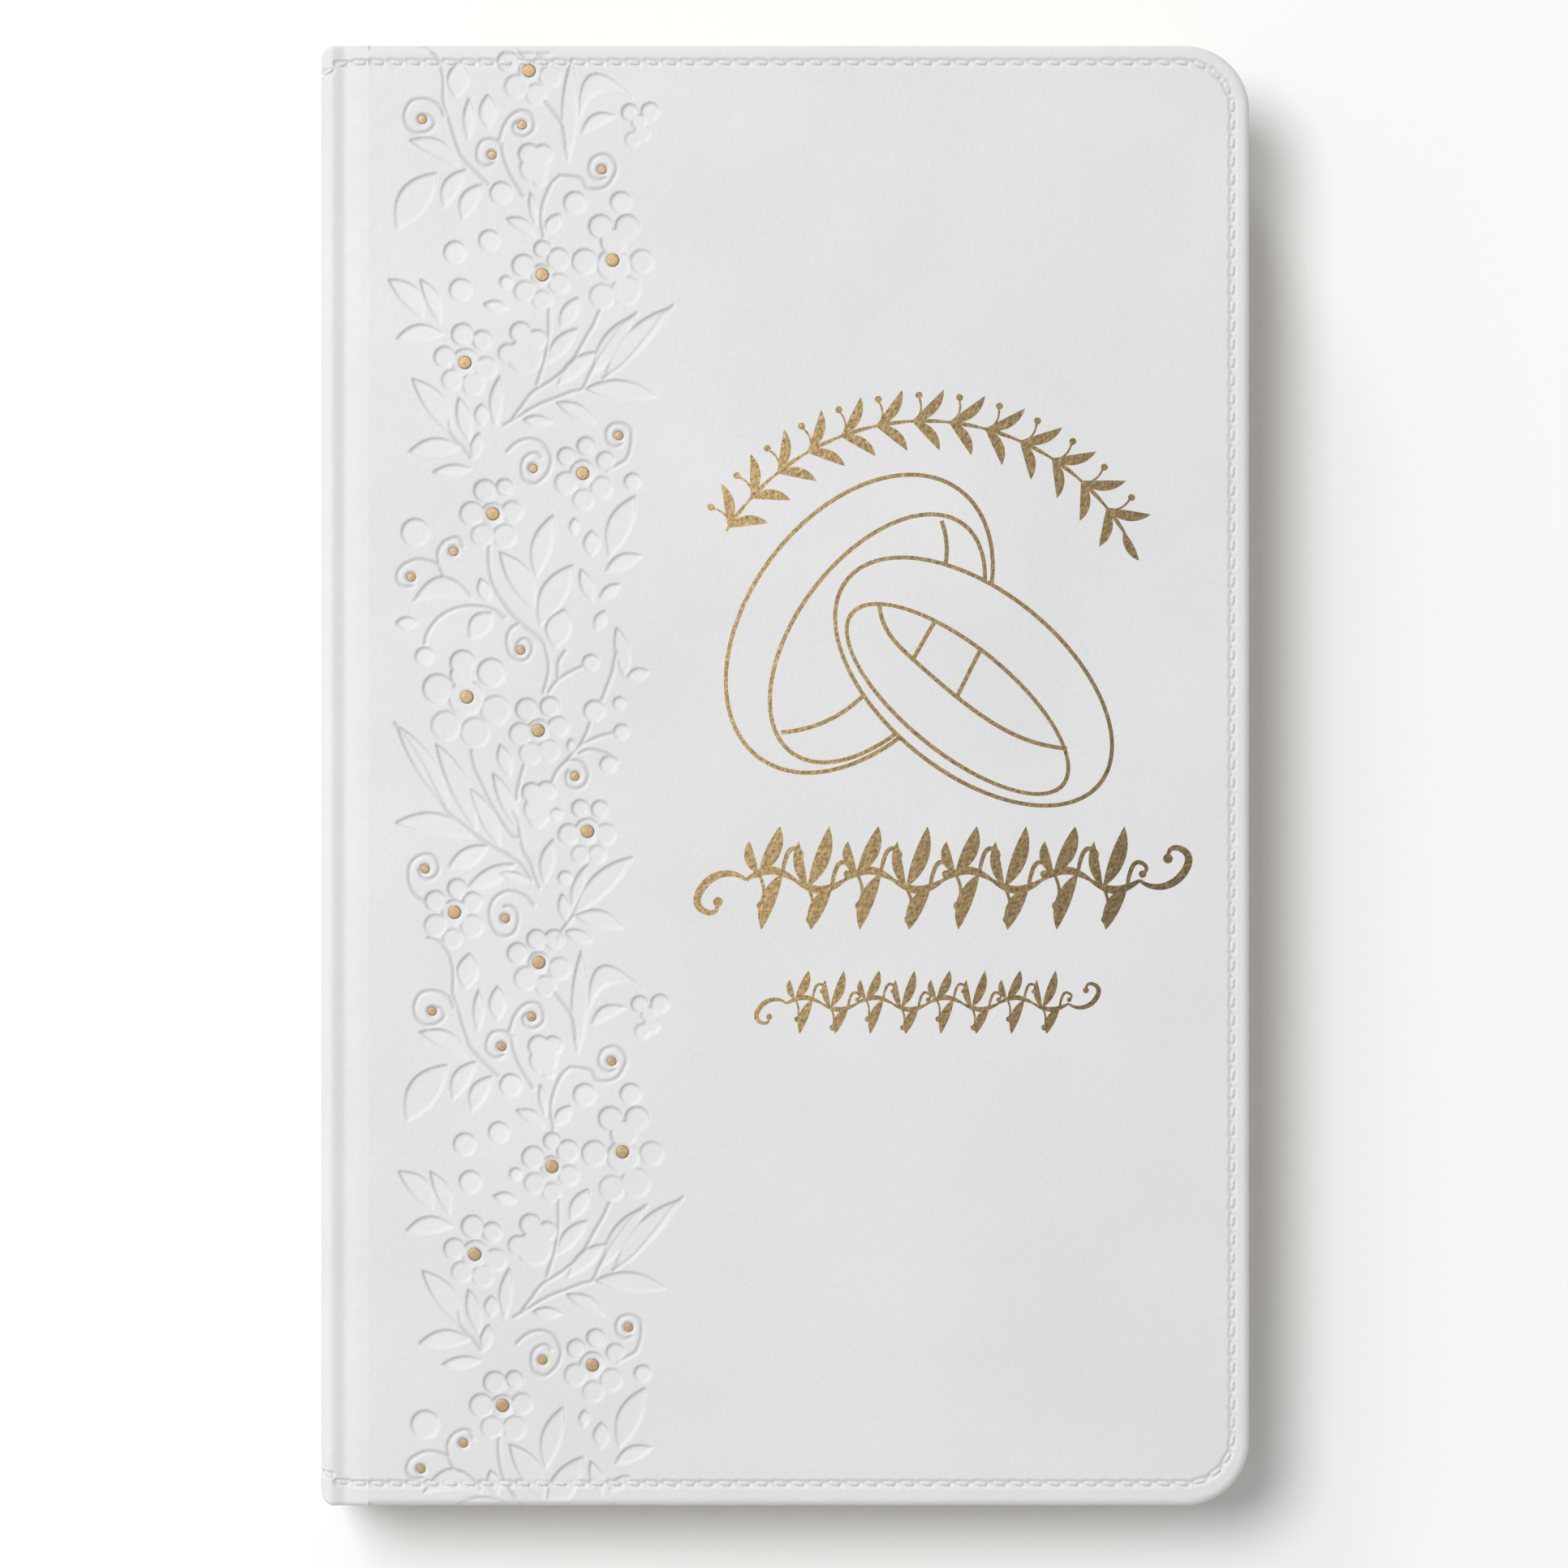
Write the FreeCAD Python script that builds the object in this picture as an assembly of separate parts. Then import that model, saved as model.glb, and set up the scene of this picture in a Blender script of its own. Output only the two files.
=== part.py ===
import FreeCAD, Part
import math
import os

# A closed, case-bound prayer book: a sewn text block in a stitched white leather case with a floral
# stamped band and gold foil. Origin: middle of the underside. +X from spine to fore edge, +Y from
# tail to head, +Z up through the front cover. All sizes are millimetres.

# ---- Case ----
cover_width = 133.4           # spine to fore edge, over the leather
cover_height = 209.6          # head to tail
corner_radius = 9.3           # fore-edge corners of the covers
spine_corner_radius = 2.0     # soft corners at the head and tail of the spine
leather_thickness = 0.6
board_thickness = 1.2
turn_in_width = 14.0          # leather folded over on the inside
edge_round = 1.0              # soft outer edge of a covered board
pastedown_thickness = 0.2
pastedown_inset = 4.0         # leather rim left showing inside

# ---- Joint between spine and boards ----
joint_width = 7.0             # outside of the spine to the flat of the cover
joint_drop = 4.2              # how far down the spine the flexible strip reaches
roll_offset = 1.3             # crest of the roll, from the outside of the spine
roll_drop = 0.3
groove_offset = 3.6           # bottom of the groove, from the outside of the spine
groove_depth = 1.1
roll_side_drop = 2.2          # level at which the roll is widest
roll_side_offset = 0.05       # its widest place, from the outside of the spine
hinge_inset = 1.8             # cover hinge line, in from the spine and from the cover face

# ---- Spine ----
spine_bulge = 0.3
inlay_thickness = 0.8
hollow_gap = 0.2              # between the text block's back and the spine card
liner_thickness = 0.3
mull_thickness = 0.3
thread_thickness = 0.3
thread_width = 0.8
thread_strands = 6
thread_end_gap = 16.0         # last strand to the end of the text block
band_radius = 0.9             # bead of the headband and tailband
band_tongue = 12.0            # strip under the bead, glued to the spine

# ---- Text block ----
square = 3.2                  # cover beyond the pages at head, fore edge and tail
section_count = 10
section_thickness = 1.8
page_corner = 8.0             # rounded fore-edge corners of the pages
fold_round = 0.5
round_share = 0.45            # a rounded edge takes at most this share of its wall
leaf_thickness = 0.2
leaf_gap = 0.08
leaf_hinge_gap = 1.8          # hinge line to the inner edge of a loose leaf

# ---- Stitching ----
stitch_inset = 2.45           # from the head and fore edges
stitch_inset_tail = 3.2
stitch_pitch = 2.63
stitch_length = 1.9
stitch_width = 0.55
stitch_slant = 5.0            # degrees
channel_width = 0.9           # sunk line that the stitches lie in
channel_depth = 0.3
stitch_sink = 0.02            # stitches lie this far below the leather

# ---- Gold foil ----
foil_depth = 0.04
foil_proud = 0.01
foil_line = 0.6
flower_dot_radius = 0.95
spiral_dot_radius = 0.65
band_far_edge = 50.8          # floral band's far edge, from the outside of the spine
art_gap = 2.6                 # floral band to the foil artwork
art_fore_gap = 8.0            # foil artwork to the fore edge
art_drawn_width = 72.0        # width that the artwork below is drawn at

# One repeat of the floral band: gold dots as (from the spine, down from the head).
band_repeat = 128.0
band_repeat_shift = 1.4
flower_dots = [
    (30.0, 3.6), (42.0, 30.8), (31.9, 32.9), (20.8, 45.5), (37.7, 61.4), (24.8, 67.2), (21.1, 93.5),
    (31.3, 98.3), (38.4, 112.8), (19.3, 124.4),
]
spiral_dots = [
    (14.7, 10.6), (29.0, 11.4), (24.7, 15.7), (40.5, 17.8), (42.9, 56.0), (30.6, 60.7), (19.2, 72.6),
    (13.1, 76.3), (28.8, 86.8), (36.6, 104.9), (15.1, 118.2), (26.6, 125.3),
]

# ---- Levels that follow from the sizes ----
x_spine = -cover_width / 2
x_fore = cover_width / 2
half_height = cover_height / 2
x_joint = x_spine + joint_width
case_thickness = 2 * leather_thickness + board_thickness
cover_thickness = case_thickness + pastedown_thickness
sections_thickness = section_count * section_thickness
leaf_step = leaf_thickness + leaf_gap
front_leaves = 3
z_sections = cover_thickness + leaf_step + leaf_gap
z_sections_top = z_sections + sections_thickness
thickness = z_sections_top + front_leaves * leaf_step + leaf_gap + cover_thickness
x_spine_skin = x_spine + spine_bulge
x_liner = x_spine_skin + leather_thickness + inlay_thickness + hollow_gap
x_mull = x_liner + liner_thickness
x_thread = x_mull + mull_thickness
x_sections = x_thread + thread_thickness
x_hinge = x_spine + hinge_inset
x_leaf = x_hinge + leaf_hinge_gap
x_pages = x_fore - square
half_pages = half_height - square
art_width = x_fore - art_fore_gap - (x_spine + band_far_edge + art_gap)
art_scale = art_width / art_drawn_width
x_art = x_fore - art_fore_gap - art_width / 2
y_head_row = half_height - stitch_inset
y_tail_row = -half_height + stitch_inset_tail


def point(x, y, z=0.0):
    return FreeCAD.Vector(x, y, z)


# ---- Flat outlines ----
def rounded_outline(corners):
    """Face inside square corners given as (x, y, radius), anticlockwise."""
    places = [point(x, y) for x, y, _ in corners]
    edges = []
    ends = []
    for i, (_, _, radius) in enumerate(corners):
        here = places[i]
        way_in = (here - places[i - 1]).normalize()
        way_out = (places[(i + 1) % len(places)] - here).normalize()
        start = here - way_in * radius
        end = here + way_out * radius
        ends.append((start, end))
        if radius > 0:
            centre = start + way_out * radius
            middle = centre + (way_in - way_out) * (radius / math.sqrt(2))
            edges.append(Part.Arc(start, middle, end).toShape())
    for i, (start, _) in enumerate(ends):
        edges.append(Part.LineSegment(ends[i - 1][1], start).toShape())
    return Part.Face(Part.Wire(Part.__sortEdges__(edges)))


def panel(x_left, x_right, y_low, y_high, fore_radius, spine_radius=0.0):
    fore = max(fore_radius, 0.0)
    return rounded_outline([
        (x_left, y_low, spine_radius),
        (x_right, y_low, fore),
        (x_right, y_high, fore),
        (x_left, y_high, spine_radius),
    ])


def slab(face, z_low, z_high):
    raised = face.translated(point(0, 0, z_low))
    return raised.extrude(point(0, 0, z_high - z_low))


def cover_panel(inset, overrun=0.0):
    """Outline of a cover, set in from its three open edges and run past its spine edge."""
    return panel(
        x_joint - overrun, x_fore - inset, inset - half_height, half_height - inset, corner_radius - inset
    )


# ---- Front cover; the back cover is its mirror image ----
def channel(margin):
    """Outline of the stitched line on a cover, moved outwards by margin."""
    return panel(
        x_joint - cover_width - margin,
        x_fore - stitch_inset + margin,
        y_tail_row - margin,
        y_head_row + margin,
        corner_radius - stitch_inset + margin,
    )


def cover_leather():
    z_low = thickness - case_thickness
    body = slab(cover_panel(0.0), z_low, thickness)
    soft_edges = [
        e for e in body.Edges
        if e.BoundBox.ZLength < leather_thickness / 2 and e.BoundBox.XMax > x_joint + leather_thickness
    ]
    body = body.makeFillet(min(edge_round, round_share * case_thickness), soft_edges)
    board_room = slab(cover_panel(leather_thickness, joint_width), z_low + leather_thickness,
                      thickness - leather_thickness)
    infill_room = slab(cover_panel(turn_in_width, joint_width), z_low - leather_thickness,
                       z_low + leather_thickness)
    outline = channel(channel_width / 2).cut(channel(-channel_width / 2))
    outer_channel = slab(outline, thickness - channel_depth, thickness + channel_depth)
    inner_channel = slab(outline, z_low - channel_depth, z_low + channel_depth)
    return body.cut([board_room, infill_room, outer_channel, inner_channel])


def cover_board():
    return slab(cover_panel(leather_thickness), thickness - leather_thickness - board_thickness,
                thickness - leather_thickness)


def cover_infill():
    z_low = thickness - case_thickness
    return slab(cover_panel(turn_in_width), z_low, z_low + leather_thickness)


def cover_pastedown():
    return slab(cover_panel(pastedown_inset), thickness - cover_thickness, thickness - case_thickness)


def mirrored(shape):
    return shape.mirror(point(0, 0, thickness / 2), point(0, 0, 1))


# ---- Stitches ----
def stitch():
    """One stitch lying along X, its underside on Z = 0."""
    radius = stitch_width / 2
    half = stitch_length / 2 - radius
    edges = [
        Part.LineSegment(point(-half, -radius), point(half, -radius)).toShape(),
        Part.Arc(point(half, -radius), point(half + radius, 0), point(half, radius)).toShape(),
        Part.LineSegment(point(half, radius), point(-half, radius)).toShape(),
        Part.Arc(point(-half, radius), point(-half - radius, 0), point(-half, -radius)).toShape(),
    ]
    thread = Part.Face(Part.Wire(edges)).extrude(point(0, 0, channel_depth - stitch_sink))
    thread.rotate(point(0, 0, 0), point(0, 0, 1), -stitch_slant)
    return thread


def cover_stitch_places():
    """(x, y, degrees) of each stitch, from the head of the joint round the fore edge to the tail."""
    radius = corner_radius - stitch_inset
    x_turn = x_fore - stitch_inset - radius
    head_run = x_turn - x_joint
    turn = math.pi / 2 * radius
    fore_run = y_head_row - y_tail_row - 2 * radius
    total = 2 * head_run + 2 * turn + fore_run
    count = round(total / stitch_pitch)
    for i in range(count):
        along = (i + 0.5) * total / count
        if along < head_run:
            yield x_joint + along, y_head_row, 0.0
        elif along < head_run + turn:
            angle = math.pi / 2 - (along - head_run) / radius
            yield (x_turn + radius * math.cos(angle), y_head_row - radius + radius * math.sin(angle),
                   math.degrees(angle) - 90)
        elif along < head_run + turn + fore_run:
            yield x_turn + radius, y_head_row - radius - (along - head_run - turn), -90.0
        elif along < total - head_run:
            angle = -(along - head_run - turn - fore_run) / radius
            yield (x_turn + radius * math.cos(angle), y_tail_row + radius + radius * math.sin(angle),
                   math.degrees(angle) - 90)
        else:
            yield x_joint + total - along, y_tail_row, 180.0


def cover_stitching(z_low):
    stitches = []
    for x, y, degrees in cover_stitch_places():
        one = stitch()
        one.rotate(point(0, 0, 0), point(0, 0, 1), degrees)
        stitches.append(one.translated(point(x, y, z_low)))
    return Part.Compound(stitches)


def outer_stitching():
    return cover_stitching(thickness - channel_depth)


def inner_stitching():
    return cover_stitching(thickness - case_thickness + stitch_sink)


# ---- Joints and spine, drawn as curves in the XZ plane and run from tail to head ----
def curve_through(places, way_first, way_last):
    curve = Part.BSplineCurve()
    curve.interpolate(Points=places, InitialTangent=way_first, FinalTangent=way_last)
    return curve


def inside(way):
    """Unit normal towards the inside of the book, for a curve that climbs the spine."""
    return point(way.z, 0, -way.x).normalize()


def curve_beside(curve, distance):
    samples = 25
    span = curve.LastParameter - curve.FirstParameter
    places = []
    for i in range(samples):
        at = curve.FirstParameter + span * i / (samples - 1)
        places.append(curve.value(at) + inside(curve.tangent(at)[0]) * distance)
    way_first = curve.tangent(curve.FirstParameter)[0]
    way_last = curve.tangent(curve.LastParameter)[0]
    return curve_through(places, way_first, way_last)


def curved_sheet(curve, near, far, y_low, y_high):
    """Sheet between two curves beside the given one, from y_low to y_high."""
    first = curve_beside(curve, near)
    second = curve_beside(curve, far)
    ends = [
        Part.LineSegment(first.EndPoint, second.EndPoint).toShape(),
        Part.LineSegment(second.StartPoint, first.StartPoint).toShape(),
    ]
    edges = [first.toShape(), ends[0], second.toShape(), ends[1]]
    face = Part.Face(Part.Wire(Part.__sortEdges__(edges)))
    return face.translated(point(0, y_low, 0)).extrude(point(0, y_high - y_low, 0))


def joint_curve():
    """Outside of the leather, up from the spine, over the roll and the groove to the cover."""
    places = [
        point(x_spine_skin, 0, thickness - joint_drop),
        point(x_spine + roll_side_offset, 0, thickness - roll_side_drop),
        point(x_spine + roll_offset, 0, thickness - roll_drop),
        point(x_spine + groove_offset, 0, thickness - groove_depth),
        point(x_joint, 0, thickness),
    ]
    return curve_through(places, point(0, 0, 1), point(1, 0, 0))


def spine_curve():
    places = [
        point(x_spine_skin, 0, joint_drop),
        point(x_spine, 0, thickness / 2),
        point(x_spine_skin, 0, thickness - joint_drop),
    ]
    return curve_through(places, point(0, 0, 1), point(0, 0, 1))


def with_channels(sheet, curve):
    """The sheet with the stitched lines sunk into it at the head and the tail."""
    for y in (y_head_row, y_tail_row):
        sheet = sheet.cut(curved_sheet(curve, -channel_depth / 2, channel_depth,
                                       y - channel_width / 2, y + channel_width / 2))
    return sheet


def plan_outline():
    outline = panel(x_spine, x_fore, -half_height, half_height, corner_radius, spine_corner_radius)
    return slab(outline, -leather_thickness, thickness + leather_thickness)


def joint_leather():
    curve = joint_curve()
    sheet = curved_sheet(curve, 0.0, leather_thickness, -half_height, half_height)
    return with_channels(sheet.common(plan_outline()), curve)


def spine_leather():
    curve = spine_curve()
    skin = curved_sheet(curve, 0.0, leather_thickness, -half_height, half_height)
    caps = [
        curved_sheet(curve, leather_thickness / 2, leather_thickness + inlay_thickness,
                     y - leather_thickness / 2, y + leather_thickness / 2)
        for y in (half_height - leather_thickness / 2, leather_thickness / 2 - half_height)
    ]
    skin = skin.fuse(caps).removeSplitter()
    return with_channels(skin.common(plan_outline()), curve)


def spine_inlay():
    reach = half_height - leather_thickness
    return curved_sheet(spine_curve(), leather_thickness, leather_thickness + inlay_thickness, -reach, reach)


def curve_stitching(curve):
    """Stitches over a curved part of the case, at the head and at the tail."""
    floor = curve_beside(curve, channel_depth)
    length = floor.length()
    count = round(length / stitch_pitch)
    stitches = []
    for i in range(count):
        middle = (i + 0.5) * length / count
        ends = [
            floor.value(floor.parameterAtDistance(middle + offset, floor.FirstParameter))
            for offset in (-stitch_length / 2, stitch_length / 2)
        ]
        way = ends[1] - ends[0]
        turn = FreeCAD.Rotation(way, point(0, 1, 0), inside(way) * -1, "XZY")
        for y in (y_head_row, y_tail_row):
            one = stitch()
            place = (ends[0] + ends[1]) * 0.5 + point(0, y, 0)
            one.Placement = FreeCAD.Placement(place, turn) * one.Placement
            stitches.append(one)
    return Part.Compound(stitches)


# ---- Text block ----
def page_slab(x_inner, z_low, z_high):
    return slab(panel(x_inner, x_pages, -half_pages, half_pages, page_corner), z_low, z_high)


def section(number):
    z_low = z_sections + number * section_thickness
    body = page_slab(x_sections, z_low, z_low + section_thickness)
    fold = [e for e in body.Edges if e.BoundBox.XMax < x_sections + fold_round and e.BoundBox.YLength > square]
    return body.makeFillet(min(fold_round, round_share * section_thickness), fold)


def spine_layer(x_low, layer, half_length):
    return Part.makeBox(layer, 2 * half_length, sections_thickness, point(x_low, -half_length, z_sections))


def sewing_thread():
    reach = half_pages - thread_end_gap
    strands = []
    for i in range(thread_strands):
        y = -reach + 2 * reach * i / (thread_strands - 1)
        strands.append(Part.makeBox(thread_thickness, thread_width, sections_thickness,
                                    point(x_thread, y - thread_width / 2, z_sections)))
    return Part.Compound(strands)


def head_band():
    tongue = Part.makeBox(mull_thickness, band_tongue + band_radius, sections_thickness,
                          point(x_mull, half_pages - band_tongue, z_sections))
    bead = Part.makeCylinder(band_radius, sections_thickness,
                             point(x_mull + band_radius, half_pages + band_radius, z_sections))
    return tongue.fuse(bead).removeSplitter()


def tail_band():
    return head_band().mirror(point(0, 0, 0), point(0, 1, 0))


def leaf(z_low):
    return page_slab(x_leaf, z_low, z_low + leaf_thickness)


# ---- Gold foil ----
def foil(faces):
    """Thin foil of the joined shapes, pressed into the front cover."""
    solids = [slab(f, thickness - foil_depth, thickness + foil_proud) for f in faces]
    joined = solids[0].fuse(solids[1:]).removeSplitter()
    return Part.Compound(joined.Solids)


def on_cover(x, y):
    """Place on the cover of a place in the artwork."""
    return point(x_art + x * art_scale, y * art_scale)


def disc(x, y, radius):
    circle = Part.Circle(on_cover(x, y), point(0, 0, 1), radius * art_scale)
    return Part.Face(Part.Wire(circle.toShape()))


def leaf_stroke(x0, y0, x1, y1, bow, body):
    """Pointed leaf between two places, bowed to the left and body wide."""
    start = on_cover(x0, y0)
    end = on_cover(x1, y1)
    side = point(y0 - y1, x1 - x0).normalize() * art_scale
    middle = (start + end) * 0.5
    edges = [
        Part.Arc(start, middle + side * (bow + body / 2), end).toShape(),
        Part.Arc(end, middle + side * (bow - body / 2), start).toShape(),
    ]
    return Part.Face(Part.Wire(edges))


def ribbon(places, thin, thick):
    """Stroke along a smooth curve, thin at its ends and thick in the middle."""
    samples = 4 * len(places)
    curve = Part.BSplineCurve()
    curve.interpolate([on_cover(x, y) for x, y in places])
    span = curve.LastParameter - curve.FirstParameter
    sides = ([], [])
    for i in range(samples + 1):
        at = curve.FirstParameter + span * i / samples
        way = curve.tangent(at)[0]
        half = art_scale * (thin + (thick - thin) * math.sin(math.pi * i / samples)) / 2
        for side, hand in zip(sides, (1, -1)):
            side.append(curve.value(at) + point(-way.y, way.x) * half * hand)
    outlines = []
    for side in sides:
        outline = Part.BSplineCurve()
        outline.interpolate(side)
        outlines.append(outline.toShape())
    ends = [Part.LineSegment(sides[0][k], sides[1][k]).toShape() for k in (0, -1)]
    return Part.Face(Part.Wire([outlines[0], ends[1], outlines[1], ends[0]]))


def ellipse(x, y, long_half, short_half, tilt):
    shape = Part.Ellipse(point(0, 0), long_half * art_scale, short_half * art_scale).toShape()
    shape.rotate(point(0, 0), point(0, 0, 1), tilt)
    shape.translate(on_cover(x, y))
    return Part.Face(Part.Wire(shape))


def ellipse_line(x, y, long_half, short_half, tilt):
    half = foil_line / 2 / art_scale
    outer = ellipse(x, y, long_half + half, short_half + half, tilt)
    return outer.cut(ellipse(x, y, long_half - half, short_half - half, tilt))


def foil_rings():
    """Two linked rings drawn in outline; the front ring hides the rear one."""
    front_outer = (4.4, 13.5, 23.3, 13.0, -39)
    front_inner = (2.1, 11.0, 19.5, 7.65, -39)
    rear_outer = (-12.0, 21.8, 24.0, 15.75, 53)
    rear_inner = (-9.4, 19.7, 20.5, 11.6, 53)
    line = foil_line / art_scale
    front = [ellipse_line(*front_outer), ellipse_line(*front_inner)]
    front += [
        ribbon([(-9.1, 24.4), (-7.8, 20.5), (-4.3, 16.7), (2.1, 11.2), (9.6, 6.2), (17.8, 3.9)], line, line),
        ribbon([(-1.1, 22.2), (-2.7, 19.5), (-4.3, 16.7)], line, line),
        ribbon([(5.4, 18.1), (3.7, 14.7), (2.0, 11.3)], line, line),
    ]
    rear = [ellipse_line(*rear_outer), ellipse_line(*rear_inner)]
    rear += [
        ribbon([(-0.2, 36.6), (0.5, 33.6), (0.2, 29.5)], line, line),
        ribbon([(-23.2, 6.2), (-17.0, 7.7), (-11.0, 11.9)], line, line),
    ]
    hidden = ellipse(*front_outer)
    return foil(front + [shape.cut(hidden) for shape in rear])


def foil_arched_sprig():
    """Leafy garland arched over the rings."""
    x_mid, y_mid, radius = -2.6, 17.3, 33.6
    first, last, pairs = 148.0, 31.0, 13
    step = (last - first) / pairs
    faces = []

    def at(turn, out=0.0):
        angle = math.radians(first + step * turn)
        return x_mid + (radius + out) * math.cos(angle), y_mid + (radius + out) * math.sin(angle)

    for i in range(pairs):
        faces.append(ribbon([at(i), at(i + 0.25), at(i + 0.5), at(i + 0.75), at(i + 1.0)], 0.35, 0.6))
        faces.append(leaf_stroke(*at(i + 0.1), *at(i + 0.9, 4.6), -0.7, 1.5))
        faces.append(leaf_stroke(*at(i + 0.1), *at(i + 0.9, -4.2), 0.7, 1.5))
        faces.append(ribbon([at(i + 0.2), at(i + 0.35, 1.8), at(i + 0.3, 3.4)], 0.3, 0.3))
        faces.append(disc(*at(i + 0.3, 3.7), 0.5))
    faces.append(leaf_stroke(*at(pairs - 0.1), *at(pairs + 0.8), -0.3, 1.3))
    return foil(faces)


def foil_vine(x_mid, y_mid, width, height, nodes_along):
    """Running vine: a waved stem with slanted leaves, tendrils and berries, and a curl at each end."""
    fine, thick = 0.03 * height, 0.075 * height
    wave, lean, body = 0.09 * height, 0.2 * height, 0.14 * height
    leaf_up, leaf_down = 0.5 * height, 0.46 * height
    curl_room = 0.5 * height
    pitch = (width - 2 * curl_room) / nodes_along
    x_first = x_mid - width / 2 + curl_room
    quarters = 4

    def stem(turn):
        return x_first + pitch * turn, y_mid + wave * math.sin(math.pi * turn)

    def grown(turn, along, up):
        x, y = stem(turn)
        return x + along, y + up

    faces = []
    for number in range(nodes_along):
        faces.append(ribbon([stem(number + k / quarters) for k in range(quarters + 1)], fine, thick))
        upper, lower = number + 1 / quarters, number + 3 / quarters
        x, y = stem(upper)
        faces.append(leaf_stroke(x, y, x + lean, y_mid + leaf_up, -0.04 * height, body))
        faces.append(leaf_stroke(x, y, x - 0.4 * lean, y_mid + 0.72 * leaf_up, 0.04 * height, 0.7 * body))
        x, y = stem(lower)
        faces.append(leaf_stroke(x, y, x - lean, y_mid - leaf_down, -0.04 * height, body))
        tendril = [grown(lower, 0.0, 0.0), grown(lower, 0.02 * height, 0.12 * height),
                   grown(lower, 0.1 * height, 0.23 * height), grown(lower, 0.17 * height, 0.19 * height),
                   grown(lower, 0.14 * height, 0.12 * height)]
        faces.append(ribbon(tendril, fine, 1.4 * fine))
        faces.append(disc(*tendril[-1], 0.035 * height))
        berry = grown(upper, 0.03 * height, -0.3 * height)
        faces.append(ribbon([stem(upper), grown(upper, 0.05 * height, -0.15 * height), berry], fine, fine))
        faces.append(disc(*berry, 0.045 * height))
    for hand, turn in ((1, nodes_along), (-1, 0)):
        curl = [grown(turn, hand * along * height, hand * up * height)
                for along, up in ((0.0, 0.0), (0.2, -0.06), (0.4, 0.06), (0.44, 0.24), (0.32, 0.3), (0.26, 0.2))]
        faces.append(ribbon(curl, fine, thick))
        faces.append(disc(*curl[-1], 0.045 * height))
    return foil(faces)


def foil_flower_dots():
    """Gold centres of the stamped flowers and tendrils, repeated down the band inside the stitching."""
    inside_stitching = channel(-channel_width / 2)
    discs = []
    for number in range(math.ceil(cover_height / band_repeat)):
        for dots, radius in ((flower_dots, flower_dot_radius), (spiral_dots, spiral_dot_radius)):
            for from_spine, down in dots:
                x = x_spine + from_spine + number * band_repeat_shift
                y = half_height - down - number * band_repeat
                if y_tail_row + radius < y < y_head_row - radius:
                    circle = Part.Circle(point(x, y), point(0, 0, 1), radius)
                    face = Part.Face(Part.Wire(circle.toShape()))
                    discs.append(face.common(inside_stitching))
    return foil(discs)


# ---- All nodes ----
def case_nodes():
    joint = joint_leather()
    joint_row = curve_stitching(joint_curve())
    pieces = {
        "cover_leather": cover_leather(),
        "board": cover_board(),
        "infill": cover_infill(),
        "pastedown": cover_pastedown(),
        "stitching": outer_stitching(),
        "inner_stitching": inner_stitching(),
        "joint_leather": joint,
        "joint_stitching": joint_row,
    }
    nodes = {}
    for name, shape in pieces.items():
        nodes["front_" + name] = shape
        nodes["back_" + name] = mirrored(shape)
    nodes["spine_leather"] = spine_leather()
    nodes["spine_inlay"] = spine_inlay()
    nodes["spine_stitching"] = curve_stitching(spine_curve())
    return nodes


def foil_nodes():
    return {
        "foil_rings": foil_rings(),
        "foil_arched_sprig": foil_arched_sprig(),
        "foil_large_scroll": foil_vine(0.0, -15.0, 72.0, 15.5, 8),
        "foil_small_scroll": foil_vine(-2.2, -32.7, 50.0, 9.5, 8),
        "foil_flower_dots": foil_flower_dots(),
    }


def text_block_nodes():
    nodes = {f"section_{number + 1:02d}": section(number) for number in range(section_count)}
    nodes["sewing_thread"] = sewing_thread()
    nodes["spine_mull"] = spine_layer(x_mull, mull_thickness, half_pages - band_tongue - leaf_gap)
    nodes["spine_liner"] = spine_layer(x_liner, liner_thickness, half_pages)
    nodes["head_band"] = head_band()
    nodes["tail_band"] = tail_band()
    return nodes


def leaf_nodes():
    nodes = {"back_flyleaf": leaf(cover_thickness + leaf_gap)}
    for number, name in enumerate(("title_leaf", "presentation_leaf", "front_flyleaf")):
        nodes[name] = leaf(z_sections_top + leaf_gap + number * leaf_step)
    return nodes


def main():
    os.makedirs("parts", exist_ok=True)
    nodes = {**case_nodes(), **foil_nodes(), **text_block_nodes(), **leaf_nodes()}
    for name, shape in nodes.items():
        shape.exportStep(f"parts/{name}.step")
    print(len(nodes), "nodes, thickness", round(thickness, 3))
    print("hinges at x", round(x_hinge, 3), "and z", hinge_inset, round(thickness - hinge_inset, 3))


main()
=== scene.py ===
import math

import bpy
import numpy as np
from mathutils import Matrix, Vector


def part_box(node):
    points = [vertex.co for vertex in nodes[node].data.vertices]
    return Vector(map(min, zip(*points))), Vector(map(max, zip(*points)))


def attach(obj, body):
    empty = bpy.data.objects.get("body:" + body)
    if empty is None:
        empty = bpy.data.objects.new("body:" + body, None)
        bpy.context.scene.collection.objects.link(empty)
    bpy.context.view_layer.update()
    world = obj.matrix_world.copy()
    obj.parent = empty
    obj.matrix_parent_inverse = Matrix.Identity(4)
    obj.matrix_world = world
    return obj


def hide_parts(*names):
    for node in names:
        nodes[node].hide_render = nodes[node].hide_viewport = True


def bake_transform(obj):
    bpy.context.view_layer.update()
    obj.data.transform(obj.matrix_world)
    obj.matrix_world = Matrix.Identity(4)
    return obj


# A closed prayer book in a white leather case, seen from straight above. Sizes are in millimetres
# until a mesh is made. X runs from spine to fore edge, Y from tail to head and Z up.

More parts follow.
